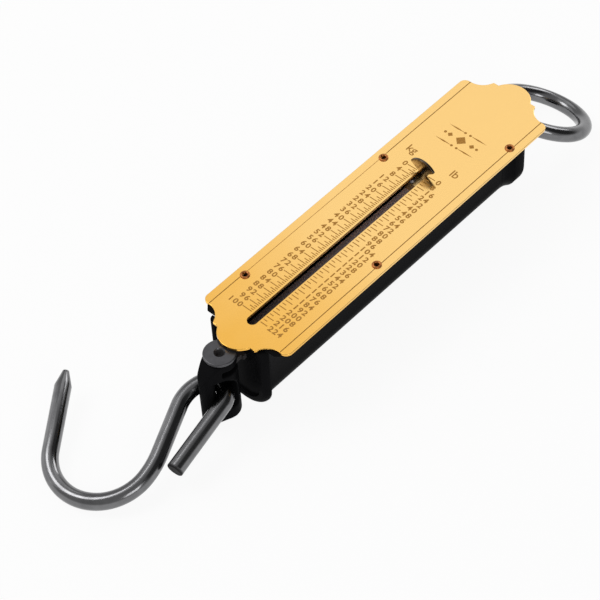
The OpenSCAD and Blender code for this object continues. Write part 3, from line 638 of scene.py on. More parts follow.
def lathe(bm, profile, place, steps=64):
    """Turns a profile of radius and height about Z, then moves it by a matrix."""
    edges = loop(bm, [(radius, 0, height) for radius, height in profile], closed=False)
    verts = verts_of(edges)
    bmesh.ops.transform(bm, matrix=place, verts=verts)
    bmesh.ops.spin(bm, geom=verts + edges, cent=place.translation, axis=place.to_3x3().col[2],
                   angle=TURN, steps=steps, use_merge=True)


def soften(bm, width, segments=2):
    """Rounds every edge that turns by more than forty degrees."""
    limit = math.radians(40)
    edges = [edge for edge in bm.edges if edge.is_manifold and edge.calc_face_angle() > limit]
    bmesh.ops.bevel(bm, geom=edges, affect="EDGES", offset=width, segments=segments,
                    profile=0.5, material=-1, clamp_overlap=True)


def border_edges(bm):
    """Edges round the open places of a mesh."""
    return [edge for edge in bm.edges if edge.is_boundary]


def mirrored_outline(quarter):
    """A closed outline from its quarter with X and Y above zero."""
    left = [(-x, y) for x, y in reversed(quarter)]
    return quarter + left + [(-x, -y) for x, y in quarter] + [(-x, -y) for x, y in left]


def plate_outline(sizes, inset):
    """Outline of the plate, drawn in by an inset."""
    half = PLATE_HIGH.x
    end = PLATE_HIGH.y - sizes.lobe_h
    corner, cove, tip = sizes.shoulder_r, sizes.cove_r, sizes.tip_r
    cove_x = sizes.step_hw + math.sqrt(cove ** 2 - (cove - sizes.cove_h) ** 2)
    step_top = end + sizes.cove_h + sizes.step_h
    cove_end = 180 + math.degrees(math.asin((end + cove - step_top + tip) / cove))
    lobe_y = end + sizes.lobe_h - sizes.lobe_r
    lobe_r = sizes.lobe_r - inset
    foot = math.degrees(math.asin((step_top - inset - lobe_y) / lobe_r))
    quarter = arc(half - corner, end - corner, corner - inset, 0, 90, 8)
    quarter += arc(cove_x, end + cove, cove + inset, 270, cove_end, 12)
    quarter += arc(sizes.step_hw - tip, step_top - tip, tip - inset, 0, 90, 5)
    quarter += arc(0, lobe_y, lobe_r, foot, 89, 16)
    return mirrored_outline(quarter)


def slot_outline(sizes, inset):
    """Outline of the slot, widened by an inset."""
    radius = sizes.slot_w / 2
    top = ZERO + sizes.slot_over_zero - radius
    foot = ZERO - TRAVEL - sizes.slot_over_end + radius
    return arc(0, top, radius + inset, 0, 180, 16) + arc(0, foot, radius + inset, 180, 360, 16)


def rivet_places(sizes):
    """Places of the four rivets, which lie alike when the plate is turned end for end."""
    end = PLATE_HIGH.y - sizes.lobe_h
    right = [(sizes.rivet_x, end - sizes.rivet_near), (sizes.rivet_x, sizes.rivet_far - end)]
    return right + [(-x, -y) for x, y in right]


def plate_wall(bm, outline, sizes):
    """Side wall of one outline, with a rounded upper edge; returns the top and foot loops."""
    steps = 4
    rows = [[(x, y, PLATE_LOW.z) for x, y in outline(0)]]
    for step in range(steps + 1):
        turn = math.pi / 2 * step / steps
        inset = sizes.edge_r * (1 - math.cos(turn))
        height = FACE - sizes.edge_r * (1 - math.sin(turn))
        rows.append([(x, y, height) for x, y in outline(inset)])
    loops = skin(bm, rows)
    return loops[-1], loops[0]


class BALANCE_OT_face_plate(bpy.types.Operator):
    """Face plate with rounded edges, border grooves and rivet holes"""
    bl_idname = "balance.face_plate"
    bl_label = "Face plate"

    def execute(self, context):
        sizes = context.scene.balance_plate
        bm = bmesh.new()
        top, foot = [], []
        walls = [lambda inset: plate_outline(sizes, inset),
                 lambda inset: slot_outline(sizes, inset)]
        for x, y in rivet_places(sizes):
            hole = sizes.rivet_shank_r
            walls.append(lambda inset, x=x, y=y: arc(x, y, hole + inset, 0, 345, 23))
        for outline in walls:
            upper, lower = plate_wall(bm, outline, sizes)
            top += upper
            foot += lower
        bmesh.ops.triangle_fill(bm, edges=top, use_beauty=True)
        bmesh.ops.triangle_fill(bm, edges=foot, use_beauty=True)
        self.grooves(bm, sizes)
        plate = add_piece(bm, "dial_plate", "balance", "lacquered_brass",
                          ["face_plate"], sharp=24)
        level = 0.999
        for face in plate.data.polygons:
            face.use_smooth = abs(face.normal.z) < level
        return {"FINISHED"}

    def grooves(self, bm, sizes):
        """Cuts the plate along each border groove and presses its middle line down."""
        for side in (-1, 1):
            for offset in (-0.5, 0, 0.5):
                plane = (side * (sizes.groove_x + offset * sizes.groove_w), 0, 0)
                bmesh.ops.bisect_plane(bm, geom=bm.verts[:] + bm.edges[:] + bm.faces[:],
                                       dist=MERGE / 4, plane_co=plane, plane_no=(1, 0, 0))
        for vert in bm.verts:
            on_line = abs(abs(vert.co.x) - sizes.groove_x) < MERGE
            if on_line and vert.co.z > FACE - sizes.edge_r:
                vert.co.z -= sizes.groove_d


class BALANCE_OT_rivets(bpy.types.Operator):
    """Four tubular rivets with rolled heads and clenched tails"""
    bl_idname = "balance.rivets"
    bl_label = "Plate rivets"

    def execute(self, context):
        sizes = context.scene.balance_plate
        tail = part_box("plate_rivets")[0].z
        roll_r = (sizes.rivet_head_r - sizes.rivet_bore_r) / 2
        roll_x = sizes.rivet_bore_r + roll_r
        over = arc(0, 0, 1, 180, 0, 10)
        rolled = [(roll_x + roll_r * x, FACE + sizes.rivet_head_h * y) for x, y in over]
        under = PLATE_LOW.z - context.scene.balance_body.sheet
        foot_h = (under - tail) / 2
        clenched = [(roll_x + roll_r * x, under - foot_h * (1 + y)) for x, y in reversed(over)]
        profile = rolled + [(sizes.rivet_shank_r, FACE), (sizes.rivet_shank_r, under)] + clenched
        bm = bmesh.new()
        for x, y in rivet_places(sizes):
            lathe(bm, profile + [profile[0]], Matrix.Translation((x, y, 0)), 32)
        add_piece(bm, "rolled_rivets", "balance", "rivet_bronze", ["plate_rivets"])
        return {"FINISHED"}


def bar(bm, middle, size):
    """A plain bar of a size about its middle."""
    shape = Matrix.Translation(middle) @ Matrix.Diagonal((*size, 1))
    bmesh.ops.create_cube(bm, size=1, matrix=shape)


def tick(bm, sizes, x_from, x_to, y):
    """One mark: a shallow bar across the plate."""
    bar(bm, ((x_from + x_to) / 2, y, FACE), (abs(x_to - x_from), sizes.tick_w, sizes.depth))


def glyph(text, height, weight, depth):
    """Mesh of a digit or a short word, its middle at the origin."""
    # A digit's height as a share of the font's size
    digit_share = 0.729
    curve = bpy.data.curves.new("glyph", "FONT")
    curve.body = text
    curve.size = height / digit_share
    curve.align_x = "CENTER"
    curve.extrude = depth / 2
    curve.offset = weight
    curve.resolution_u = 3
    mesh = evaluated(linked("glyph", curve))
    bpy.data.curves.remove(curve)
    mesh.transform(Matrix.Translation((0, -height / 2, 0)))
    return mesh


def strike(bm, mesh, place):
    """Adds a copy of a mesh at a place."""
    start = len(bm.verts)
    bm.from_mesh(mesh)
    bm.verts.ensure_lookup_table()
    bmesh.ops.transform(bm, matrix=place, verts=bm.verts[start:])


class BALANCE_OT_scales(bpy.types.Operator):
    """Marks of the kilogram scale on the left and the pound scale on the right"""
    bl_idname = "balance.scales"
    bl_label = "Scale marks"

    def execute(self, context):
        sizes = context.scene.balance_marks
        bm = bmesh.new()
        for kilo in range(FULL_KILOS + 1):
            reach = sizes.kilo_short
            if kilo % 2 == 0:
                reach = sizes.kilo_medium
            if kilo % sizes.kilo_every == 0:
                reach = sizes.kilo_long
            tick(bm, sizes, -sizes.kilo_inner, -reach, ZERO - kilo * KILO)
        for pound in range(0, FULL_POUNDS + 1, sizes.pound_every // 2):
            reach = sizes.pound_long if pound % sizes.pound_every == 0 else sizes.pound_short
            tick(bm, sizes, sizes.pound_inner, reach, ZERO - pound * POUND)
        plate = context.scene.balance_plate
        straight = 2 * (PLATE_HIGH.y - plate.lobe_h - plate.edge_r)
        fill_h = 0.4 * plate.groove_d
        fill_z = FACE - 0.7 * plate.groove_d
        for side in (-1, 1):
            bar(bm, (side * plate.groove_x, 0, fill_z), (plate.groove_w / 2, straight, fill_h))
        add_piece(bm, "scale_marks", "balance", "mark_fill")
        return {"FINISHED"}


class BALANCE_OT_numerals(bpy.types.Operator):
    """Plain numbers of both scales, and their two units"""
    bl_idname = "balance.numerals"
    bl_label = "Numerals"

    def execute(self, context):
        sizes = context.scene.balance_marks
        digits = [glyph(str(value), sizes.digit_h, sizes.digit_weight, sizes.depth)
                  for value in range(10)]
        shape = Matrix.Diagonal((sizes.digit_stretch, 1, 1, 1))
        bm = bmesh.new()

        def label(value, first_x, pitch, y):
            for index, digit in enumerate(str(value)):
                place = (first_x + (index + 0.5) * pitch, y, FACE)
                strike(bm, digits[int(digit)], Matrix.Translation(place) @ shape)

        for kilo in range(0, FULL_KILOS + 1, sizes.kilo_every):
            label(kilo, -sizes.kilo_digits - len(str(kilo)) * sizes.kilo_pitch,
                  sizes.kilo_pitch, ZERO - kilo * KILO)
        for pound in range(0, FULL_POUNDS + 1, sizes.pound_every):
            label(pound, sizes.pound_digits, sizes.pound_pitch, ZERO - pound * POUND)
        for word, x in (("kg", -sizes.kilo_unit_x), ("lb", sizes.pound_unit_x)):
            strike(bm, glyph(word, sizes.unit_h, sizes.unit_weight, sizes.depth),
                   Matrix.Translation((x, ZERO + sizes.unit_y, FACE)))
        for mesh in digits:
            bpy.data.meshes.remove(mesh)
        add_piece(bm, "numerals", "balance", "mark_fill")
        return {"FINISHED"}


def inlay(bm, sides, half_x, half_y, x, y, depth):
    """A flat many-sided figure let into the plate."""
    shape = Matrix.Translation((x, y, FACE)) @ Matrix.Diagonal((half_x, half_y, 1, 1))
    made = bmesh.ops.create_cone(bm, cap_ends=True, segments=sides, radius1=1, radius2=1,
                                 depth=depth)
    bmesh.ops.transform(bm, matrix=shape, verts=made["verts"])


class BALANCE_OT_ornament(bpy.types.Operator):
    """Two rows of tapered rules with a lozenge in the middle, above the scales"""
    bl_idname = "balance.ornament"
    bl_label = "Ornament"

    def execute(self, context):
        sizes = context.scene.balance_marks
        rule = sizes.ornament_l / 2
        thin = sizes.tick_w * 0.9
        dot = thin * 1.6
        end_dot = thin * 1.8
        small = sizes.lozenge / 2
        small_x = sizes.lozenge * 2.2
        end_dot_x = sizes.lozenge * 3.2
        middle = ZERO + sizes.ornament_y
        bm = bmesh.new()
        for row in (-1, 1):
            y = middle + row * sizes.ornament_gap
            for side in (-1, 1):
                inlay(bm, 4, rule, thin, side * (small + rule), y, sizes.depth)
                inlay(bm, 16, dot, dot, side * small, y, sizes.depth)
        inlay(bm, 4, sizes.lozenge, sizes.lozenge, 0, middle, sizes.depth)
        for side in (-1, 1):
            inlay(bm, 4, small, small, side * small_x, middle, sizes.depth)
            inlay(bm, 16, end_dot, end_dot, side * end_dot_x, middle, sizes.depth)
        add_piece(bm, "ornament", "balance", "mark_fill")
        return {"FINISHED"}


class BALANCE_OT_pointer(bpy.types.Operator):
    """Half-moon pointer on a neck through the slot"""
    bl_idname = "balance.pointer"
    bl_label = "Pointer"

    def execute(self, context):
        sizes = context.scene.balance_plate
        radius, half, tip = sizes.pointer_r, sizes.pointer_hw, sizes.pointer_tip_h
        rise = math.degrees(math.acos(half / radius))
        neck = sizes.pointer_neck_hw
        outline = [(neck, POINTER_LOW.z - FACE), (neck, sizes.pointer_neck_h), (half, tip)]
        outline += arc(0, 0, radius, rise + 2, 178 - rise, 28)
        outline += [(-half, tip), (-neck, sizes.pointer_neck_h), (-neck, POINTER_LOW.z - FACE)]
        bm = bmesh.new()
        back = [bm.verts.new((x, POINTER_HIGH.y, FACE + z)) for x, z in outline]
        made = bmesh.ops.extrude_face_region(bm, geom=[bm.faces.new(back)])
        front = [item for item in made["geom"] if isinstance(item, bmesh.types.BMVert)]
        bmesh.ops.translate(bm, verts=front, vec=(0, POINTER_LOW.y - POINTER_HIGH.y, 0))
        tips = [edge for edge in bm.edges
                if all(abs(vert.co.x) > half - MERGE for vert in edge.verts)]
        bmesh.ops.bevel(bm, geom=tips, affect="EDGES", offset=sizes.pointer_tip_r, segments=4,
                        profile=0.5, material=-1, clamp_overlap=True)
        soften(bm, sizes.pointer_edge, 3)
        add_piece(bm, "pointer_head", "pull", "darkened_brass", ["pointer"])
        return {"FINISHED"}


def trough_chain(sizes, flange=False):
    """Outer section of the trough: places and outward directions, from left to right."""
    half, corner = sizes.trough_hw, sizes.trough_r
    steps = 14
    bend = arc(half - corner, CASING_LOW.z + corner, corner, 270, 360, steps)
    right = list(zip(bend, arc(0, 0, 1, 270, 360, steps)))
    top = CASING_HIGH.z - sizes.sheet
    if flange:
        right.append(((half, top), (1, -1)))
        right.append(((CASING_HIGH.x, top), (0, -1)))
    else:
        right.append(((half, top - sizes.clear), (1, 0)))
    left = [((-x, z), (-out_x, out_z)) for (x, z), (out_x, out_z) in reversed(right)]
    return left + right


def trough_row(chain, out, y):
    """The section drawn out by a distance, at a place along Y."""
    return [(x + out * out_x, y, z + out * out_z) for (x, z), (out_x, out_z) in chain]


def trough_ring(bm, chain, profile):
    """Sweeps a closed profile of distance out and place along Y round the trough."""
    rows = [trough_row(chain, out, y) for out, y in profile]
    skin(bm, rows + [rows[0]], closed=False)
    bmesh.ops.remove_doubles(bm, verts=bm.verts, dist=MERGE)
    bmesh.ops.holes_fill(bm, edges=border_edges(bm), sides=0)


def end_wall(bm, chain, out, y_from, y_to, top):
    """A wall that closes the trough between two places along Y."""
    rows = []
    for y in (y_from, y_to):
        row = trough_row(chain, out, y)
        row[0] = (row[0][0], y, top)
        row[-1] = (row[-1][0], y, top)
        rows.append(row)
    for edges in skin(bm, rows):
        bmesh.ops.edgeloop_fill(bm, edges=edges)


class BALANCE_OT_casing(bpy.types.Operator):
    """Trough of folded sheet with two flanges under the plate"""
    bl_idname = "balance.casing"
    bl_label = "Casing"

    def execute(self, context):
        sizes = context.scene.balance_body
        low, high, cut = CASING_LOW.y, CASING_HIGH.y, sizes.flange_cut
        stations = [low, low + cut, high - cut, high]
        profile = [(0, y) for y in stations] + [(-sizes.sheet, y) for y in reversed(stations)]
        bm = bmesh.new()
        trough_ring(bm, trough_chain(sizes, flange=True), profile)
        for vert in bm.verts:
            at_end = min(abs(vert.co.y - low), abs(vert.co.y - high)) < MERGE
            if at_end and abs(vert.co.x) > CASING_HIGH.x - MERGE:
                vert.co.x -= math.copysign(cut, vert.co.x)
        bmesh.ops.recalc_face_normals(bm, faces=bm.faces)
        soften(bm, sizes.edge)
        add_piece(bm, "trough", "balance", "casing_paint", ["casing"])
        return {"FINISHED"}


class BALANCE_OT_caps(bpy.types.Operator):
    """Lower cap with its rounded rim and upper cap with its flare"""
    bl_idname = "balance.caps"
    bl_label = "Caps"

    def execute(self, context):
        sizes = context.scene.balance_body
        self.lower(sizes)
        self.upper(sizes)
        return {"FINISHED"}

    def lower(self, sizes):
        """Lower cap: a rim round the trough's end, a spigot inside it and a wall."""
        lowest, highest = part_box("lower_cap")
        lip = CASING_LOW.z - lowest.z
        rim = CASING_LOW.y - sizes.clear
        inner = -sizes.sheet - sizes.spigot
        seat = -sizes.sheet - sizes.clear
        spigot_end = rim + sizes.spigot_l
        rounding = sizes.low_round
        profile = arc(lip - rounding, lowest.y + rounding, rounding, 270, 360, 8)
        profile += [(lip, rim), (seat, rim), (seat, spigot_end), (inner, spigot_end)]
        profile += [(inner, lowest.y + sizes.clear), (inner + 2 * sizes.clear, lowest.y)]
        chain = trough_chain(sizes)
        bm = bmesh.new()
        trough_ring(bm, chain, profile)
        bmesh.ops.recalc_face_normals(bm, faces=bm.faces)
        soften(bm, sizes.edge)
        wall = lowest.y + sizes.wall_recess
        end_wall(bm, chain, inner + sizes.clear, wall, wall + sizes.wall, highest.z - sizes.clear)
        add_piece(bm, "lower_rim", "balance", "casing_paint", ["lower_cap"])

    def upper(self, sizes):
        """Upper cap: a flare over the trough's end up to a rounded lip, and a wall."""
        lowest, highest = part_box("upper_cap")
        lip = CASING_LOW.z - lowest.z
        inner = -sizes.sheet - sizes.spigot
        start = highest.y - sizes.up_lip_l - sizes.flare_l
        end = CASING_HIGH.y + sizes.clear
        flare_r = (sizes.flare_l ** 2 + lip ** 2) / (2 * lip)
        rise = math.degrees(math.asin(sizes.flare_l / flare_r))
        flare = arc(flare_r, start, flare_r, 180, 180 - rise, 10)
        rounding = sizes.up_round
        profile = [(out + sizes.clear, y) for out, y in flare[:-1]]
        profile += [(lip, start + sizes.flare_l)]
        profile += arc(lip - rounding, highest.y - rounding, rounding, 0, 90, 8)
        profile += [(inner, highest.y), (inner, end), (sizes.clear, end)]
        chain = trough_chain(sizes)
        bm = bmesh.new()
        trough_ring(bm, chain, profile)
        end_wall(bm, chain, inner + sizes.clear, end, highest.y, highest.z - sizes.clear)
        add_piece(bm, "upper_flare", "balance", "casing_paint", ["upper_cap"])


def casting(node, name, body, finish):
    """A forged or cast piece: the frame's solid with its edges rounded all over."""
    sizes = bpy.context.scene.balance_body
    bm = bmesh.new()
    bm.from_mesh(frame["nodes"][node].data)
    bmesh.ops.remove_doubles(bm, verts=bm.verts, dist=MERGE / 4)
    mesh = mesh_of(bm, name)
    holder = linked(name, mesh)
    grain = holder.modifiers.new("grain", "REMESH")
    grain.mode = "VOXEL"
    grain.voxel_size = sizes.casting_voxel
    rounded = evaluated(holder)
    bpy.data.meshes.remove(mesh)
    bm = bmesh.new()
    bm.from_mesh(rounded)
    bpy.data.meshes.remove(rounded)
    for _ in range(sizes.casting_rounds):
        bmesh.ops.smooth_vert(bm, verts=bm.verts, factor=0.5, use_axis_x=True,
                              use_axis_y=True, use_axis_z=True)
    add_piece(bm, name, body, finish, [node], sharp=80)


class BALANCE_OT_castings(bpy.types.Operator):
    """Cast eye that carries the hook, and forged eye that carries the ring"""
    bl_idname = "balance.castings"
    bl_label = "Castings"

    def execute(self, context):
        casting("eye_block", "hook_eye", "eye", "casting_paint")
        casting("ring_eye", "ring_loop", "balance", "drawn_steel")
        return {"FINISHED"}


class BALANCE_OT_pin(bpy.types.Operator):
    """Pivot pin with its dimpled disc head"""
    bl_idname = "balance.pin"
    bl_label = "Pivot pin"

    def execute(self, context):
        sizes = context.scene.balance_body
        lowest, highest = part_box("pivot_pin")
        radius = highest.x
        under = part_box("pivot_washer")[1].z + sizes.clear / 2
        top = highest.z
        rounding = (top - under) * 0.42
        dish_floor = top - sizes.disc_dish_d
        dish_floor_r = sizes.disc_dish * 0.4
        profile = [(0, dish_floor), (dish_floor_r, dish_floor),
                   (sizes.disc_dish, top - sizes.edge), (sizes.disc_dish + sizes.edge, top)]
        profile += arc(radius - rounding, top - rounding, rounding, 90, 0, 5)
        profile += [(radius, under + sizes.edge), (radius - sizes.edge, under)]
        profile += [(sizes.pin_r, under), (sizes.pin_r, lowest.z), (0, lowest.z)]
        bm = bmesh.new()
        lathe(bm, profile, Matrix.Translation((PIN_PLACE.x, PIN_PLACE.y, 0)))
        add_piece(bm, "disc_pin", "eye", "blackened_disc", ["pivot_pin"], sharp=30)
        return {"FINISHED"}


def ring_of(bm, geometry):
    """The edges that join the new verts of an extrusion to each other."""
    verts = {item for item in geometry if isinstance(item, bmesh.types.BMVert)}
    edges = {edge for vert in verts for edge in vert.link_edges}
    return [edge for edge in edges if edge.verts[0] in verts and edge.verts[1] in verts]


class Wire:
    """A round wire that is bent in the plane of X and Y, one straight or bend at a time."""

    def __init__(self, bm, edges, heading):
        self.bm = bm
        self.edges = edges
        self.at = Vector((0, 0, 0))
        self.heading = heading

    def ahead(self):
        """Direction in which the wire runs on."""
        return Vector((math.cos(self.heading), math.sin(self.heading), 0))

    def run(self, distance, scale=1):
        """Runs straight on, and tapers by a scale."""
        made = bmesh.ops.extrude_edge_only(self.bm, edges=self.edges)["geom"]
        self.edges = ring_of(self.bm, made)
        self.at += self.ahead() * distance
        verts = verts_of(self.edges)
        bmesh.ops.translate(self.bm, verts=verts, vec=self.ahead() * distance)
        bmesh.ops.scale(self.bm, verts=verts, vec=(scale,) * 3,
                        space=Matrix.Translation(-self.at))

    def bend(self, radius, turn):
        """Bends to the left, or to the right where the turn is below zero."""
        side = math.copysign(1, turn)
        ahead = self.ahead()
        centre = self.at + side * radius * Vector((-ahead.y, ahead.x, 0))
        steps = math.ceil(abs(turn) / BEND_STEP)
        made = bmesh.ops.spin(self.bm, geom=verts_of(self.edges) + self.edges, cent=centre,
                              axis=(0, 0, 1), angle=turn, steps=steps)
        self.edges = ring_of(self.bm, made["geom_last"])
        self.at = centre + Matrix.Rotation(turn, 3, "Z") @ (self.at - centre)
        self.heading += turn

    def close(self):
        """Closes the wire's end."""
        bmesh.ops.edgeloop_fill(self.bm, edges=self.edges)


class BALANCE_OT_hook(bpy.types.Operator):
    """Hook bent from one round wire, with a cone at its point and a square-cut leg"""
    bl_idname = "balance.hook"
    bl_label = "Hook"

    def execute(self, context):
        sizes = context.scene.balance_wires
        radius = sizes.hook_wire / 2
        bm = bmesh.new()
        across = Matrix.Rotation(math.pi / 2, 4, "Y")
        bmesh.ops.create_circle(bm, segments=32, radius=radius, matrix=across)
        start = bm.edges[:]
        leg = Wire(bm, start, 0)
        leg.bend(sizes.hook_eye_r, sizes.hook_leg_turn)
        leg.run(sizes.hook_leg_l - sizes.cut_edge)
        leg.run(sizes.cut_edge, 1 - sizes.cut_edge / radius)
        leg.close()
        bow = Wire(bm, start, math.pi)
        bow.bend(sizes.hook_eye_r, -sizes.hook_eye_turn)
        bow.bend(sizes.hook_out_r, -sizes.hook_out_turn)
        bow.run(sizes.hook_shank_l)
        bow.bend(sizes.hook_sweep_r, sizes.hook_sweep_turn)
        bow.bend(sizes.hook_bow_r, sizes.hook_bow_turn)
        bow.run(sizes.hook_point_l)
        # The cone's end is rounded in two short runs
        dome = sizes.hook_tip_r * 0.25
        bow.run(sizes.hook_cone_l - dome, sizes.hook_tip_r / radius)
        for share, scale in ((0.6, 0.93), (0.4, 0.75)):
            bow.run(dome * share, scale)
        bow.close()
        lean = Matrix.Rotation(math.pi + sizes.hook_lean, 4, "X")
        bmesh.ops.transform(bm, matrix=Matrix.Translation(HOOK_PLACE) @ lean, verts=bm.verts)
        add_piece(bm, "wire_hook", "load", "drawn_steel", ["hook"], sharp=30)
        return {"FINISHED"}


class BALANCE_OT_ring(bpy.types.Operator):
    """Carrying ring of round wire"""
    bl_idname = "balance.ring"
    bl_label = "Ring"

    def execute(self, context):
        sizes = context.scene.balance_wires
        lean = Matrix.Rotation(-sizes.ring_lean, 4, "X")
        centre = Matrix.Translation((0, sizes.ring_r, 0))
        place = Matrix.Translation(RING_PLACE) @ lean @ centre
        section = [(sizes.ring_r + x, z) for x, z in arc(0, 0, sizes.ring_wire / 2, 0, 360, 32)]
        bm = bmesh.new()
        lathe(bm, section, place, 96)
        add_piece(bm, "carry_ring", "carry", "drawn_steel", ["ring"])
        return {"FINISHED"}


class BALANCE_OT_spring(bpy.types.Operator):
    """Coil that stretches between its fixed end and the carrier"""
    bl_idname = "balance.spring"
    bl_label = "Main spring"

    def execute(self, context):
        sizes = context.scene.balance_body
        lowest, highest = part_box("main_spring")
        wire = sizes.spring_wire
        fixed = highest.y - wire / 2
        moving = lowest.y + wire / 2
        coil_r = (highest.z - lowest.z - wire) / 2
        middle = Vector((0, fixed, (highest.z + lowest.z) / 2))
        rise = math.atan(sizes.spring_pitch / (TURN * coil_r))
        steps_a_turn = 36
        turns = (fixed - moving) / sizes.spring_pitch
        steps = round(turns * steps_a_turn)
        bm = bmesh.new()
        place = Matrix.Translation(middle + Vector((coil_r, 0, 0)))
        bmesh.ops.create_circle(bm, segments=12, radius=wire / 2,
                                matrix=place @ Matrix.Rotation(rise, 4, "X"))
        made = bmesh.ops.spin(bm, geom=bm.verts[:] + bm.edges[:], cent=middle, axis=(0, -1, 0),
                              dvec=(0, (moving - fixed) / steps, 0), angle=TURN * turns,
                              steps=steps)
        bmesh.ops.edgeloop_fill(bm, edges=ring_of(bm, made["geom_last"]))
        bmesh.ops.holes_fill(bm, edges=border_edges(bm), sides=0)
        piece = add_piece(bm, "coil", None, "oiled_steel", ["main_spring"])
        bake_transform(piece)
        return {"FINISHED"}


class BALANCE_OT_inner_finishes(bpy.types.Operator):
    """Finishes of the pieces that keep the frame's own shape"""
    bl_idname = "balance.inner_finishes"
    bl_label = "Inner finishes"

    def execute(self, context):
        finishes = {
            "plated_bar": ["drawbar"],
            "oiled_steel": ["spring_carrier", "spring_anchor", "anchor_pin", "ring_eye_washer",
                            "ring_eye_nut", "slider_rivets"],
            "inner_brass": ["slider", "pointer_rivet", "pivot_washer"],
            "casing_paint": ["cap_rivets", "guide_bush"],
        }
        for finish, nodes in finishes.items():
            for node in nodes:
                for slot in frame["nodes"][node].material_slots:
                    slot.link = "OBJECT"
                    slot.material = material(finish)
        return {"FINISHED"}


# Each lamp with its direction from the plate, its distance and its width in metres
LAMPS = (
    ("plate_light", (-0.46, 0.5, 0.745), 1.2, 0.66),
    ("wire_light", (-0.5, -0.35, 0.79), 1.2, 0.5),
    ("top_light", (-0.4, -0.1, 0.91), 1.3, 0.65),
    ("side_light", (-0.8, -0.42, 0.42), 1.3, 1.1),
    ("back_light", (-0.05, 0.85, 0.52), 1.3, 0.5),
    ("front_light", (0.78, -0.38, 0.5), 1.3, 0.5),
)


def soft_lamp(name, towards, distance, size, radiance):
    """A square soft lamp that faces the plate from a direction."""
    data = bpy.data.lights.new(name, "AREA")
    data.shape = "SQUARE"
    data.size = size
    data.energy = radiance * math.pi * size * size
    lamp = linked(name, data)
    direction = Vector(towards).normalized()
    lamp.location = Vector((0, 0, FACE)) + direction * distance
    lamp.rotation_euler = direction.to_track_quat("Z", "Y").to_euler()
    lamp.visible_camera = False


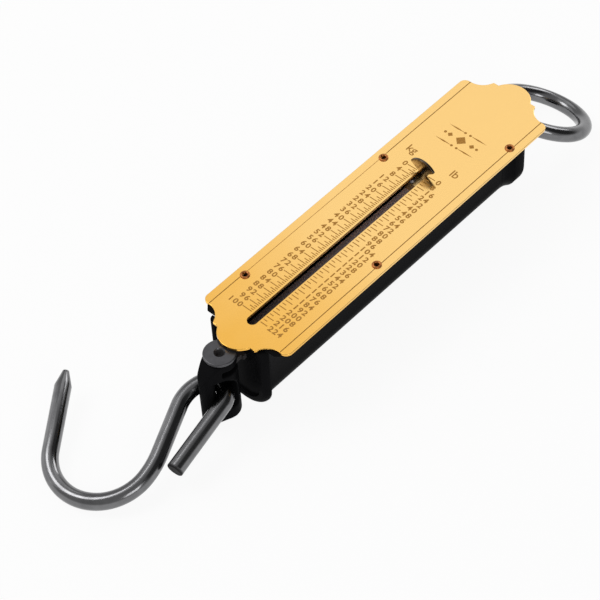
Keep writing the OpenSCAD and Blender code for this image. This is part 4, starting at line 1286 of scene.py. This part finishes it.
class BALANCE_OT_stage(bpy.types.Operator):
    """Floor, lamps and camera of the studio"""
    bl_idname = "balance.stage"
    bl_label = "Studio"

    def execute(self, context):
        scene = context.scene
        studio = scene.balance_studio
        self.floor(studio)
        self.world(scene, studio)
        for name, towards, distance, size in LAMPS:
            soft_lamp(name, towards, distance, size, getattr(studio, name))
        self.camera(scene, studio)
        scene.view_settings.view_transform = "Standard"
        return {"FINISHED"}

    def floor(self, studio):
        """A pale floor that looks white and still takes the balance's shadow."""
        bm = bmesh.new()
        bmesh.ops.create_grid(bm, x_segments=1, y_segments=1, size=studio.floor_size)
        bmesh.ops.translate(bm, verts=bm.verts, vec=(0, 0, CAD_BOX[0].z - studio.floor_gap))
        mesh = mesh_of(bm, "floor")
        finish = Finish("pale_floor", Base_Color=(0.95, 0.95, 0.95, 1), Roughness=0.9,
                        Specular_IOR_Level=0)
        seen = [finish.add("ShaderNodeLightPath", out=f"Is {kind} Ray")
                for kind in ("Camera", "Glossy", "Transmission")]
        white = finish.add("ShaderNodeEmission", None, {"Color": (1, 1, 1, 1), "Strength": 1})
        mixed = finish.add("ShaderNodeMixShader", None,
                           {0: (seen[0] + seen[1] + seen[2]) * studio.whiteness,
                            1: Value(finish.tree, finish.shader.outputs[0]), 2: white})
        feed(finish.tree, finish.tree.nodes["Material Output"].inputs["Surface"], mixed)
        mesh.materials.append(finish.material)
        floor = linked("floor", mesh)

    def world(self, scene, studio):
        """An even room, white at the horizon, with a dark flag that gives wires a black band."""
        world = bpy.data.worlds.new("studio")
        scene.world = world
        world.use_nodes = True
        nodes = Nodes(world.node_tree)
        direction = nodes.add("ShaderNodeTexCoord", out="Generated")
        height = nodes.add("ShaderNodeSeparateXYZ", None, {"Vector": direction}, "Z")
        facing = nodes.add("ShaderNodeVectorMath", {"operation": "DOT_PRODUCT"},
                           {0: direction, 1: Vector(studio.flag_side).normalized()}, "Value")
        backdrop = nodes.tree.nodes["Background"]
        backdrop.inputs["Color"].default_value = (1, 1, 1, 1)
        feed(nodes.tree, backdrop.inputs["Strength"],
             nodes.ramp(height, (0.02, 1), (0.3, studio.room))
             * nodes.ramp(facing, (0.8, 1), (0.9, studio.flag)))

    def camera(self, scene, studio):
        """The camera from which the balance is seen."""
        data = bpy.data.cameras.new("photo_view")
        data.sensor_width = studio.sensor / MM
        data.lens = studio.lens / MM
        data.clip_start = 0.01
        data.clip_end = 50
        camera = linked("photo_view", data)
        ahead = Vector(studio.camera_ahead).normalized()
        right = Vector(studio.camera_right)
        right = (right - ahead * right.dot(ahead)).normalized()
        turn = Matrix((right, right.cross(ahead), -ahead)).transposed()
        camera.matrix_world = Matrix.Translation(studio.camera_place) @ turn.to_4x4()
        scene.camera = camera


PIECES = (
    BALANCE_OT_face_plate,
    BALANCE_OT_rivets,
    BALANCE_OT_scales,
    BALANCE_OT_numerals,
    BALANCE_OT_ornament,
    BALANCE_OT_pointer,
    BALANCE_OT_casing,
    BALANCE_OT_caps,
    BALANCE_OT_castings,
    BALANCE_OT_pin,
    BALANCE_OT_hook,
    BALANCE_OT_ring,
    BALANCE_OT_spring,
    BALANCE_OT_inner_finishes,
    BALANCE_OT_stage,
)


class BALANCE_PT_panel(bpy.types.Panel):
    """Buttons for the balance's pieces"""
    bl_idname = "BALANCE_PT_panel"
    bl_label = "Spring balance"
    bl_space_type = "VIEW_3D"
    bl_region_type = "UI"
    bl_category = "Balance"

    def draw(self, context):
        """Lists a button for each piece."""
        for piece in PIECES:
            self.layout.operator(piece.bl_idname)


GROUPS = {
    "balance_plate": BalancePlateSizes,
    "balance_marks": BalanceMarkSizes,
    "balance_body": BalanceBodySizes,
    "balance_wires": BalanceWireSizes,
    "balance_colours": BalanceColours,
    "balance_studio": BalanceStudio,
}


def register():
    """Registers the sizes, the pieces and the panel."""
    for name, group in GROUPS.items():
        bpy.utils.register_class(group)
        setattr(bpy.types.Scene, name, PointerProperty(type=group))
    for piece in PIECES:
        bpy.utils.register_class(piece)
    bpy.utils.register_class(BALANCE_PT_panel)


def unregister():
    """Takes them out again, last first."""
    bpy.utils.unregister_class(BALANCE_PT_panel)
    for piece in reversed(PIECES):
        bpy.utils.unregister_class(piece)
    for name, group in reversed(GROUPS.items()):
        delattr(bpy.types.Scene, name)
        bpy.utils.unregister_class(group)


def main():
    """Builds every piece in order."""
    register()
    for piece in PIECES:
        group, action = piece.bl_idname.split(".")
        getattr(getattr(bpy.ops, group), action)()


if __name__ == "__main__":
    main()
